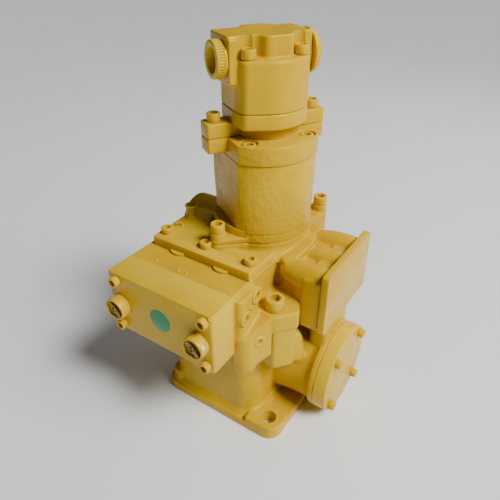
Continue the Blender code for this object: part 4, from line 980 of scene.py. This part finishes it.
def makePortBlock():
    p = portBlock
    base, deck = p["base"], p["deck"]
    outline = rectangle(p["left"], p["right"], p["front"] - 8, p["back"], 10)
    rough = [slab("deck", outline, base, deck)]
    foot = [(0, p["seat"]), (p["seatRadius"], p["seat"]), (p["seatRadius"], p["seat"] - 9)]
    foot += [(p["seatFoot"], deck + 0.5), (p["seatFoot"] + 3, deck - 6), (0, deck - 6)]
    rough.append(lathe("seat", foot, steps=96))
    rough += portNeck()
    sx, sy, sz = p["suctionPlace"]
    rough.append(bar("suction", (sx, sy, sz), xAxis, p["suctionRadius"], 60, 64, 2))
    rough += lugSlabs() + [armSolid()]
    boss = rectangle(30, p["bossRight"], p["front"], -98, 8)
    rough.append(slab("boss", boss, 168, deck - 6))
    cx, cy, radius, low = p["bossCylinder"]
    rough.append(bar("bossEnd", (cx, cy, low), zAxis, radius, 62, 48, 4))
    filler = [(45, -75), (68, -74), (92, -60), (93, -50), (60, -30), (45, -30)]
    rough.append(hull("filler", [(x, y, z) for x, y in filler for z in (base, lugTop - 0.5)]))
    shape = cast("rough", rough, p["voxel"], p["softness"], p["sand"])
    front = p["front"] - 8  # the front is cut back flat for the control block
    left, right, back = p["left"], p["right"], p["back"]
    corners = [(left, front), (right, front), (right, back, 8), (left, back, 8)]
    crisp = [slab("deck", rounded(corners, 2), base, deck, 1)] + lugSlabs(2)
    pad = rectangle(left + 3, right - 2, p["front"], housing["front"] - p["housingGap"], 5)
    crisp.append(slab("frontPad", pad, base - 16, deck - 10, 1))
    seat = [(0, p["seat"]), (p["seatRadius"] - 1, p["seat"]), (p["seatRadius"], p["seat"] - 1)]
    seat += [(p["seatRadius"], deck + 2), (0, deck + 2)]
    crisp.append(lathe("seat", seat, steps=96))
    for bolt in (midLeftBolt, midRightBolt):
        crisp.append(rhombicLug("midLug", bolt, p["lugTangent"], deck - 8, p["seat"]))
    crisp.append(shoulderSolid())
    faceHigh = (p["neckEnd"], p["faceHalf"], p["neckTop"] + 4)
    crisp.append(brick("neckFace", (93, -p["faceHalf"], p["faceLow"]), faceHigh, 5))
    shape = cast("portBlock", [shape] + crisp, p["voxel"], 3)
    shape = faceOff(shape, (p["neckEnd"], 0, 0), xAxis)
    shape = faceOff(shape, (0, 0, p["seat"]), zAxis)
    shape = faceOff(shape, (sx, 0, 0), -xAxis)
    shape = carve(shape, portBlockRooms())
    settle(shape, castPaint, "port_block")
    for i, place in enumerate(bossPlugs):
        plugScrew(f"bossPlug_{i + 1}", place, xAxis, plugs["radius"], plugs["rise"], plugs["socket"])
    facing, radius = plugs["armFacing"], plugs["armRadius"]
    plugScrew("armPlug", plugs["armPlace"], facing, radius, plugs["rise"] / 2, plugs["armSocket"])


makePortBlock()
print("port block made")


# Round cover, port plate, control block and deck plate
roundCover = {"edge": 1.6}


def makeRoundCover():
    low, high = span("round_cover")
    middle = (low + high) / 2
    radius = (high.y - low.y) / 2
    thick = high.x - low.x
    edge = roundCover["edge"]
    rings = [
        (0, thick),
        (radius - edge - 0.3, thick),
        (radius - edge * 0.4, thick - edge * 0.25),
        (radius, thick - edge),
        (radius, 0.7),
        (radius - 0.7, 0),
        (0, 0),
    ]
    cover = lathe("roundCover", rings, (low.x, middle.y, middle.z), xAxis, 128)
    holes = screwHoles(coverScrews, xAxis, low.x - 5)
    settle(carve(cover, holes), smoothPaint, "round_cover")


portPlate = {"edge": 1.0, "corner": 5.0, "low": 177.0}


def makePortPlate():
    low, high = span("port_cover_plate")
    outline = rectangle(low.y, high.y, portPlate["low"], high.z, portPlate["corner"], 8)
    plate = slab("portPlate", outline, 0, high.x - low.x, portPlate["edge"])
    plate.matrix_world = Matrix.Translation((low.x * mm, 0, 0)) @ standing()
    settle(applied(plate), smoothPaint, "port_cover_plate")


def paintDrop(name, place, axis, radius, middle, shoulder, lip):
    rings = [(0, radius * middle), (radius * 0.6, radius * shoulder)]
    rings += [(radius, lip), (radius, -0.6), (0, -0.6)]
    settle(lathe(name, rings, place, axis, 24), smoothPaint, sharp=60)


controlBlock = {
    "edge": 0.9,
    "leftCorner": 1.5,
    "rightCorner": 3.5,
    "spoolBore": 7.3,
    "drops": ((46.5, 252.5, 2.2), (44.0, 171.5, 2.0), (39.0, 170.5, 1.4)),  # x, z and radius
    "topDrops": (  # x, y and radius
        (-71.0, -133.0, 2.2),
        (-35.0, -134.0, 2.6),
        (-30.5, -130.5, 1.8),
        (-23.0, -134.0, 2.4),
    ),
    "discPlace": (-28.0, 213.6),
    "discRadius": 15.8,
    "discThick": 0.22,
}


def makeControlBlock():
    c = controlBlock
    low, high = span("control_block")
    behind = high.y + 4  # past the joint, where the block is then cut off flat
    corners = [(low.x, low.y, c["leftCorner"]), (high.x, low.y, c["rightCorner"])]
    corners += [(high.x, behind), (low.x, behind)]
    block = slab("controlBlock", rounded(corners, 0.1, 4), low.z, high.z, c["edge"])
    block = faceOff(block, high, yAxis)
    rooms = screwHoles(controlScrews, -yAxis, high.y + 5)
    rooms += spoolBores(high.y + 5, c["spoolBore"])
    settle(carve(block, rooms), smoothPaint, "control_block")
    for i, (x, z, radius) in enumerate(c["drops"]):  # sagged paint near the right hand corners
        paintDrop(f"paintDrop_{i + 1}", (x, low.y, z), -yAxis, radius, 0.6, 0.42, 0)


adjuster = {"rim": 3.0, "recess": 4.2, "barHalf": 3.2, "barTurn": -50.0}


def makeAdjusterCap(side, node):
    low, high = span(node)
    middle = (low + high) / 2
    radius = (high.x - low.x) / 2
    long = high.y - low.y
    inner = radius - adjuster["rim"]
    floor = long - adjuster["recess"]
    rings = [
        (0, floor),
        (inner - 0.8, floor),
        (inner, floor + 0.8),
        (inner + 0.3, long - 0.5),
        (inner + 0.8, long),
        (radius - 1.0, long),
        (radius - 0.3, long - 0.3),
        (radius, long - 1.0),
        (radius, 1.2),
        (radius - 0.5, 0.5),
        (radius - 0.5, 0),
        (0, 0),
    ]
    place = (middle.x, high.y, middle.z)
    cap = lathe(f"adjusterCap{side}", rings, place, -yAxis, 72)
    settle(cap, smoothPaint, node)
    half = adjuster["barHalf"]
    outline = rectangle(-inner, inner, -half, half, 1.0, 4)
    grip = slab(f"adjusterBar{side}", outline, 0, adjuster["recess"] - 0.4, 0.7)
    turn = Matrix.Rotation(math.radians(adjuster["barTurn"]), 4, "Z")
    start = (middle.x, high.y - floor - 0.05, middle.z)
    grip.matrix_world = placing(start, -yAxis) @ turn
    # The grip takes the dark metal whose colour paints the recess shade
    settle(applied(grip), recessShadeMetal)
    # The small screw also takes the dark metal that paints the recess shade
    screw = [(0, 0.8), (1.6, 0.8, "hex"), (1.6, 2.0, "hex"), (2.3, 2.4)]
    screw += [(3.2, 2.4), (3.6, 2.0), (3.6, 0), (0, 0)]
    centre = (middle.x, high.y - long + 0.9, middle.z)
    settle(lathe(f"adjusterScrew{side}", screw, centre, -yAxis, 36), recessShadeMetal)


primerChip = {
    "outline": [(-3.2, -1.8), (-0.8, -2.5), (2.8, -1.2), (3.4, 1.4), (0.6, 2.6), (-2.6, 1.7)],
    "turn": 28.0,
}


def makeChip():
    # Where paint came off the right adjuster's rim
    low, high = span("adjuster_cap_right")
    radius = (high.x - low.x) / 2
    chip = slab("primerChip", rounded(primerChip["outline"], 0.8, 3), -0.4, 0.12, 0.08, 2)
    angle = math.radians(primerChip["turn"])
    facing = Vector((math.cos(angle), 0, math.sin(angle)))
    place = (low + high) / 2 + facing * radius
    chip.matrix_world = placing((place.x, low.y + 4.4, place.z), facing)
    settle(applied(chip), primerLook)


def makeDisc():
    # A thin enamelled disc on the control block's front
    c = controlBlock
    x, z = c["discPlace"]
    disc = slab("plainDisc", circle(c["discRadius"], 72), 0, c["discThick"], 0.1, 2)
    disc.matrix_world = placing((x, span("control_block")[0].y, z), -yAxis)
    settle(applied(disc), discLook)


deckPlate = {
    "thick": 12.4,
    "left": -100.0,
    "right": 50.0,
    "front": -107.5,
    "back": -14.0,
    "edge": 0.7,
    "seatRoom": 71.5,
    "bossPlaces": (-60.0, 8.0),
    "bossRadius": 15.4,
    "bossHeight": 3.4,
    "clipPlace": (-86.0, -70.0),
    "clipFacing": (0.45, -0.5, 0.74),
}


def makeTopPlate():
    d = deckPlate
    bottom = bottomOf("top_plate")
    outline = rectangle(d["left"], d["right"], d["front"], d["back"], 2)
    plate = slab("deckPlate", outline, bottom, bottom + d["thick"])
    room = bar("room", (0, 0, bottom - 5), zAxis, d["seatRoom"], 40, 128)
    lug = slab("lugRoom", lugOutline(midLeftBolt, 11.5, 8.5, -30), bottom - 5, bottom + 40)
    plate = soften(carve(plate, [room, lug]), d["edge"], 2)
    plate = carve(plate, screwHoles(plateScrews, zAxis, bottom - 5, 40, 20))
    settle(plate, smoothPaint, "top_plate")
    for i, x in enumerate(d["bossPlaces"]):  # these peep out under the plate's front edge
        place = (x, d["front"] + 10.2, bottom)
        boss = bar(f"plateBoss_{i + 1}", place, zAxis, d["bossRadius"], d["bossHeight"], 48, 0.6)
        settle(boss, smoothPaint)


def makeTopDetails():
    # Sagged paint behind the control block's top edge and a bent wire clip on the plate
    for i, (x, y, radius) in enumerate(controlBlock["topDrops"]):
        place = (x, y, portBlock["deck"])
        paintDrop(f"topDrop_{i + 1}", place, zAxis, radius, 0.45, 0.32, 0.05)
    plateTop = bottomOf("top_plate") + deckPlate["thick"]
    outer, inner = arc(4.6, -30, 215, 18), arc(3.0, 215, -30, 18)
    clip = slab("wireClip", outer + inner, 0, 1.8, 0.5, 2)
    clip.matrix_world = placing((*deckPlate["clipPlace"], plateTop + 2.2), deckPlate["clipFacing"])
    settle(applied(clip), smoothPaint)


def makeHollowPlug():
    low, high = span("case_drain_plug")
    middle = (low + high) / 2
    radius = (high.x - low.x) / 2
    tall = high.z - low.z
    rings = [
        (0, 4),
        (radius - 3.0, 4),
        (radius - 2.4, tall - 1.2),
        (radius - 1.6, tall),
        (radius - 0.7, tall),
        (radius, tall - 0.8),
        (radius - 0.4, tall - 2.6),
        (radius - 1.4, tall - 5.5),
        (radius - 1.5, 2.2),
        (radius - 0.3, 1.0),
        (radius - 0.3, 0),
        (0, 0),
    ]
    plug = lathe("hollowPlug", rings, (middle.x, middle.y, low.z), zAxis, 56)
    settle(plug, smoothPaint, "case_drain_plug")


makeRoundCover()
makePortPlate()
makeControlBlock()
for side, node in adjusterCaps.items():
    makeAdjusterCap(side, node)
makeChip()
makeDisc()
makeTopPlate()
makeTopDetails()
makeHollowPlug()
print("covers and control block made")


# Middle pump
midPump = {
    "turn": 58.0,
    "radius": 64.6,
    "coverRadius": 66.0,
    "flat": 52.0,
    "flangeRadius": 63.6,
    "flangeTop": 288.1,
    "lugTop": 280.6,
    "panelDepth": 2.3,
    "panelSide": [(4, 374), (14, 366), (22, 348), (27, 325), (26, 305), (17, 291)],  # across, z
    "facetPlace": (38.3, 338.0),
    "facetFacing": (0.86, 0.5, -0.055),
    "boltSeat": 9.6,
    "gearRoom": 18.8,
    "shaftRoom": 11.0,
    "pinRoom": 7.8,
    "earReach": 76.5,
    "earHalf": 12.5,
    "earThick": 17.0,
    "screwDepth": 11.0,
}
midTurn = math.radians(midPump["turn"])


def flattened(radius, flat, steps=36):
    opening = math.degrees(math.acos(flat / radius))
    return arc(radius, opening, 180 - opening, steps) + arc(radius, 180 + opening, 360 - opening, steps)


def turnedPoints(outline):
    turn = Matrix.Rotation(midTurn, 2)
    return [tuple(turn @ Vector(point)) for point in outline]


def earOutline():
    reach, half = midPump["earReach"], midPump["earHalf"]
    return rectangle(-reach, reach, -half, half, 4)


def flatPanel(side):
    # The cutter of a shallow sunk panel with bowed sides, on the left or right flat
    m = midPump
    corners = m["panelSide"] + [(-across, z) for across, z in reversed(m["panelSide"])]
    panel = slab("panel", rounded(corners, 14, 8), m["flat"] - m["panelDepth"], m["flat"] + 8)
    panel.matrix_world = Matrix.Rotation(midTurn, 4, "Z") @ standing(side)
    return applied(panel)


def makeMidPump():
    m = midPump
    low, high = span("mid_pump_body")
    outline = turnedPoints(flattened(m["radius"], m["flat"]))
    shape = slab("midPumpBody", outline, m["flangeTop"], high.z, 1.1)
    turn = Matrix.Rotation(midTurn, 3, "Z")
    for side in (-1, 1):
        shape = combine(shape, flatPanel(side), "DIFFERENCE", "EXACT")
        for across in (-1, 1):  # narrow facets that widen towards the flange
            place, z = m["facetPlace"]
            corner = Vector((side * m["flat"], across * place, z))
            facing = Vector(m["facetFacing"]) * Vector((side, across, 1))
            shape = faceOff(shape, turn @ corner, turn @ facing)
    ring = slab("ring", circle(m["flangeRadius"], 96), low.z, m["flangeTop"] + 2, 0.8)
    shape = fuse(shape, ring)
    for bolt in (midLeftBolt, midRightBolt):
        lug = rhombicLug("lug", bolt, portBlock["lugTangent"], low.z, m["lugTop"])
        shape = fuse(shape, lug)
        place, tall = (bolt.x, bolt.y, low.z + 1), m["flangeTop"] - low.z - 1
        seat = bar("boltSeat", place, zAxis, m["boltSeat"], tall, 40, 0.5)
        shape = fuse(shape, seat)
    idler = middleOf("mid_idler_gear")
    idlerBottom, gearBottom = bottomOf("mid_idler_gear"), bottomOf("mid_drive_gear")
    rooms = [bar("pocket", (0, 0, gearBottom - 0.3), zAxis, m["gearRoom"], 80, 64)]
    rooms.append(bar("pocket", (idler.x, idler.y, gearBottom - 0.3), zAxis, m["gearRoom"], 80, 64))
    rooms.append(bar("shaft", (0, 0, low.z - 10), zAxis, m["shaftRoom"], 150, 40))
    rooms.append(bar("pin", (idler.x, idler.y, idlerBottom - 0.3), zAxis, m["pinRoom"], 80, 32))
    rooms += screwHoles(midBolts, zAxis, low.z - 5)
    rooms += screwHoles(midCoverBolts, zAxis, high.z - 5.5, 40)
    settle(carve(shape, rooms), bodyPaint, "mid_pump_body")


def makeMidCover():
    m = midPump
    low, high = span("mid_pump_cover")
    outline = turnedPoints(flattened(m["coverRadius"], m["flat"]))
    cover = slab("midPumpCover", outline, low.z, high.z, 1.0)
    ear = slab("ear", turnedPoints(earOutline()), high.z - m["earThick"], high.z, 1.4)
    cover = fuse(cover, ear)
    idler, idlerTop = middleOf("mid_idler_gear"), topOf("mid_idler_gear")
    rooms = [bar("shaft", (0, 0, low.z - 10), zAxis, m["shaftRoom"], 80, 40)]
    pinTall = idlerTop + 10.3 - low.z
    rooms.append(bar("pin", (idler.x, idler.y, low.z - 10), zAxis, m["pinRoom"], pinTall, 32))
    deep = m["screwDepth"]
    counterbore = [(0, 40), (11, 40), (11, deep + 0.01), (10, deep - 1), (9.5, 0), (0, 0)]
    for node in midCoverBolts:
        rooms += screwHoles([node], zAxis, low.z - 10)
        x, y, _ = screwPlace(node, zAxis)[0]
        rooms.append(lathe("counterbore", counterbore, (x, y, high.z - deep), steps=48))
    rooms += screwHoles(earBolts, zAxis, high.z - 15.5)
    settle(carve(cover, rooms), bodyPaint, "mid_pump_cover")


makeMidPump()
makeMidCover()
print("middle pump made")


# Gear pump on top
gearPump = {
    "radius": 50.0,
    "half": 46.0,
    "shoulder": 4.0,
    "screwWall": 9.6,
    "crownLeft": -55.0,
    "crownRight": 45.2,
    "crownDepth": 24.5,
    "bossReach": 37.5,
    "bossHalf": 15.0,
    "crownTall": 22.0,
    "portAcross": -8.0,  # the ports' axis, beside the shaft's
    "portRadius": 11.0,
    "portBoss": 17.0,
    "neckRadius": 39.0,
    "neckTall": 15.0,
    "gearCentres": 28.0,
    "gearRoom": 16.5,
    "flangeShaftRoom": 11.0,
    "shaftRoom": 9.4,
    "pinRoom": 7.8,
    "headRoom": 8.9,
    "voxel": 0.9,
    "softness": 7,
    "sand": 0.12,
}


def turnZ(obj):
    obj.matrix_world = Matrix.Rotation(midTurn, 4, "Z") @ obj.matrix_world
    return applied(obj)


def bandSolid(name, low, high, edge, segments=4):
    # A round body with flat sides, swollen at the two screws
    g = gearPump
    points = flattened(g["radius"], g["half"], 28)
    back = Matrix.Rotation(-midTurn, 2)
    for node in gearBolts:
        centre = tuple(back @ screwPlace(node, zAxis)[0].xy)
        points += circle(g["screwWall"], 24, centre)
    solid = hull(name, [(x, y, z) for x, y in points for z in (low, high)])
    return soften(solid, edge, segments)


def makeGearFlange():
    g = gearPump
    low, high = span("gear_pump_flange")
    base = slab("gearPumpFlange", earOutline(), low.z, low.z + midPump["earThick"], 1.6)
    neck = slab("neck", circle(g["neckRadius"], 96), low.z, low.z + g["neckTall"])
    base = fuse(base, neck)
    band = bandSolid("band", low.z + g["neckTall"] - 2, high.z, 2.2)
    base = turnZ(fuse(base, band))
    idler, idlerBottom = middleOf("top_idler_gear"), bottomOf("top_idler_gear")
    rooms = [bar("shaft", (0, 0, low.z - 10), zAxis, g["flangeShaftRoom"], 80, 40)]
    rooms.append(bar("pin", (idler.x, idler.y, idlerBottom - 0.6), zAxis, g["pinRoom"], 60, 32))
    rooms += screwHoles(earBolts, zAxis, low.z - 5)
    rooms += screwHoles(gearBolts, zAxis, high.z - 15.5)
    settle(carve(base, rooms), smoothPaint, "gear_pump_flange")


def crownOutline():
    # The top face: a bar with a rounded boss on each side
    g = gearPump
    left, right, deep = g["crownLeft"], g["crownRight"], g["crownDepth"]
    half, reach = g["bossHalf"], g["bossReach"]
    foot = half + 7
    corners = [(left, -deep, 2), (-foot, -deep, 9), (-half, -reach, 9), (half, -reach, 9)]
    corners += [(foot, -deep, 9), (right, -deep, 3), (right, deep, 3), (foot, deep, 9)]
    corners += [(half, reach, 9), (-half, reach, 9), (-foot, deep, 9), (left, deep, 2)]
    return rounded(corners, 2, 8)


def makeGearBody():
    g = gearPump
    low, high = span("gear_pump_body")
    bodyTop = high.z - g["crownTall"]
    left, deep, across = g["crownLeft"] + 0.6, g["crownDepth"], g["portAcross"]
    rough = [bandSolid("lower", low.z, bodyTop - 8, 0.6, 2)]
    rough.append(bandSolid("shoulder", low.z + 4, bodyTop, g["shoulder"]))
    rough.append(slab("crown", crownOutline(), bodyTop - 6, high.z, 1.2))
    rough.append(brick("cheek", (left, 1 - deep, bodyTop - 28), (-40, deep - 1, bodyTop), 1.5))
    rough.append(brick("tongue", (left, -deep - 2.5, bodyTop - 26), (-45, -16, high.z - 3), 1.2))
    rough.append(bar("portBoss", (44, across, bodyTop - 2), xAxis, g["portBoss"], 2.2, 64))
    shape = cast("gearPumpBody", rough, g["voxel"], g["softness"], g["sand"])
    shape = faceOff(shape, (0, 0, low.z), -zAxis)
    gearTop, idlerTop, shaftTop = map(topOf, ("top_drive_gear", "top_idler_gear", "drive_shaft"))
    start = low.z - 10
    rooms = []
    for v in (0, -g["gearCentres"]):
        rooms.append(bar("pocket", (0, v, start), zAxis, g["gearRoom"], gearTop + 0.3 - start, 64))
    rooms.append(bar("shaft", (0, 0, start), zAxis, g["shaftRoom"], shaftTop + 0.6 - start, 40))
    place = (0, -g["gearCentres"], start)
    rooms.append(bar("pin", place, zAxis, g["pinRoom"], idlerTop + 0.6 - start, 32))
    rooms.append(bar("port", (-14, across, bodyTop - 2), -xAxis, g["portRadius"], 80, 48))
    shape = turnZ(carve(shape, rooms))
    rooms = []
    for node in gearBolts:
        rooms += screwHoles([node], zAxis, low.z - 5, 90)
        x, y, _ = screwPlace(node, zAxis)[0]
        rooms.append(bar("headRoom", (x, y, bodyTop - 0.4), zAxis, g["headRoom"], 60, 40))
    settle(carve(shape, rooms), smoothPaint, "gear_pump_body")


collar = {"depth": 0.9, "count": 40}  # of its teeth


def portPlace(along):
    # A point on the ports' axis, at a distance from its middle
    g = gearPump
    height = topOf("gear_pump_body") - g["crownTall"] - 2
    return Matrix.Rotation(midTurn, 3, "Z") @ Vector((along, g["portAcross"], height))


def makeCollar():
    axis = -Vector((math.cos(midTurn), math.sin(midTurn), 0))
    place = portPlace(gearPump["crownLeft"] - 0.3)
    rings = [
        (19.0, 12.0),
        (19.6, 11.4),
        (19.8, 10.6),
        (19.8, 10.2, "teeth"),
        (19.8, 3.0, "teeth"),
        (19.8, 2.6),
        (18.6, 1.6),
        (18.6, 0),
        (13.0, 0),
        (13.0, 10.8),
        (14.4, 12.0),
    ]
    ring = lathe("portCollar", rings, place, axis, 320, closed=True, teeth=collar)
    settle(ring, smoothPaint, "port_collar_left", sharp=50)


def makeDomeCap():
    axis = Vector((math.cos(midTurn), math.sin(midTurn), 0))
    place = portPlace(gearPump["half"] + 0.3)
    rings = [(0, 12.0), (8, 11.9), (14, 11.4), (18.5, 10.2), (22, 7.8), (23.8, 5.4), (24.5, 2.8)]
    rings += [(24.5, 0.6), (24.0, 0), (0, 0)]
    cap = lathe("portCap", rings, place, axis, 96)
    groove = brick("seam", (-40, -0.45, -1), (40, 0.45, 1.0))
    groove.matrix_world = placing(place + axis * 12.1, axis)
    cap = combine(cap, applied(groove), "DIFFERENCE", "EXACT")
    settle(cap, smoothPaint, "port_cap_right")


makeGearFlange()
makeGearBody()
makeCollar()
makeDomeCap()
print("gear pump made")

for coverScrew, controlScrew in zip(coverScrews, controlScrews):
    socketScrew(coverScrew, xAxis)
    socketScrew(controlScrew, -yAxis, screwSizes["controlGrow"])
for node in plateScrews:
    socketScrew(node, zAxis, screwSizes["plateGrow"])
for node in jointBolts + midBolts + midCoverBolts + earBolts + gearBolts:
    socketScrew(node, zAxis)
print("screws made")

# Finishes of the inner CAD pieces that stay as they are
steelNodes = ["drive_shaft", "front_bearing", "rear_bearing", "cylinder_barrel", "servo_piston"]
steelNodes += ["control_spool_left", "control_spool_right"] + [f"piston_{i}" for i in range(1, 10)]
darkNodes = ["swashplate", "mid_drive_gear", "mid_idler_gear", "top_drive_gear", "top_idler_gear"]
innerFinishes = (
    (steelFinish, steelNodes),
    (darkSteelFinish, darkNodes),
    (bronzeFinish, ["retainer_plate", "valve_plate"]),
    (rubberLook, ["shaft_seal"]),
)
for look, nodes in innerFinishes:
    for node in nodes:
        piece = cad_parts[node]
        if len(piece.material_slots) == 0:
            piece.data.materials.append(look)
        for place in piece.material_slots:
            place.material = look
print("inner pieces finished")

# Floor, lights and camera, in metres
studio = {
    "floor": (0.84, 0.84, 0.835),
    "floorHalf": 12.0,
    "world": (0.86, 0.88, 0.92),
    "worldStrength": 0.08,
    "middle": (0, 0, 0.22),
    "sunStrength": 2.8,
    "sunDirection": (-1.0, 0.1, -1.25),
    "sunSpread": 16.0,
}
softBoxes = {  # place, size, power and colour
    "keyLight": ((1.35, 0.0, 1.55), (0.9, 0.9), 28.0, (1.0, 0.99, 0.96)),
    "fillLight": ((-1.3, -1.3, 0.9), (1.6, 1.2), 0.1, (0.93, 0.96, 1.0)),
    "rimLight": ((0.2, 1.5, 1.3), (1.4, 0.7), 6.0, (0.97, 0.98, 1.0)),
}


def makeFloor():
    bm = bmesh.new()
    bmesh.ops.create_grid(bm, x_segments=1, y_segments=1, size=studio["floorHalf"])
    floor = fromBmesh("paleFloor", bm)
    made, tree, shader = startMaterial("floorPaint")
    speckle = grainNode(tree, 3.0, 6.0, 0.6)
    pale = studio["floor"]
    colour = blendColour(tree, speckle, tuple(0.97 * c for c in pale), pale)
    tree.links.new(colour, shader.inputs["Base Color"])
    shader.inputs["Roughness"].default_value = 0.75
    floor.data.materials.append(made)


def aimed(name, data, direction, place=(0, 0, 0)):
    obj = inScene(name, data)
    obj.location = place
    obj.rotation_mode = "QUATERNION"
    obj.rotation_quaternion = Vector(direction).to_track_quat("-Z", "Y")
    return obj


def makeLights():
    world = bpy.data.worlds.new("studio")
    bpy.context.scene.world = world
    world.use_nodes = True
    background = world.node_tree.nodes["Background"]
    background.inputs["Color"].default_value = (*studio["world"], 1.0)
    background.inputs["Strength"].default_value = studio["worldStrength"]
    sun = bpy.data.lights.new("evenLight", "SUN")
    sun.energy = studio["sunStrength"]
    sun.angle = math.radians(studio["sunSpread"])
    aimed("evenLight", sun, studio["sunDirection"])
    for name, (place, size, power, colour) in softBoxes.items():
        box = bpy.data.lights.new(name, "AREA")
        box.shape = "RECTANGLE"
        box.size, box.size_y = size
        box.energy = power
        box.color = colour
        aimed(name, box, Vector(studio["middle"]) - Vector(place), place)


camera = {
    "lens": 34.56,
    "sensor": 36.0,
    "place": (0.2943, -0.47682, 0.600),
    "azimuth": 33.4,
    "elevation": 33.95,
}


def makeCamera():
    data = bpy.data.cameras.new("view")
    data.lens = camera["lens"]
    data.sensor_width = camera["sensor"]
    data.clip_start = 0.01
    turn, tilt = math.radians(camera["azimuth"]), math.radians(camera["elevation"])
    back = Vector((math.sin(turn) * math.cos(tilt), -math.cos(turn) * math.cos(tilt), math.sin(tilt)))
    bpy.context.scene.camera = aimed("view", data, -back, camera["place"])


makeFloor()
makeLights()
makeCamera()
print("studio made")
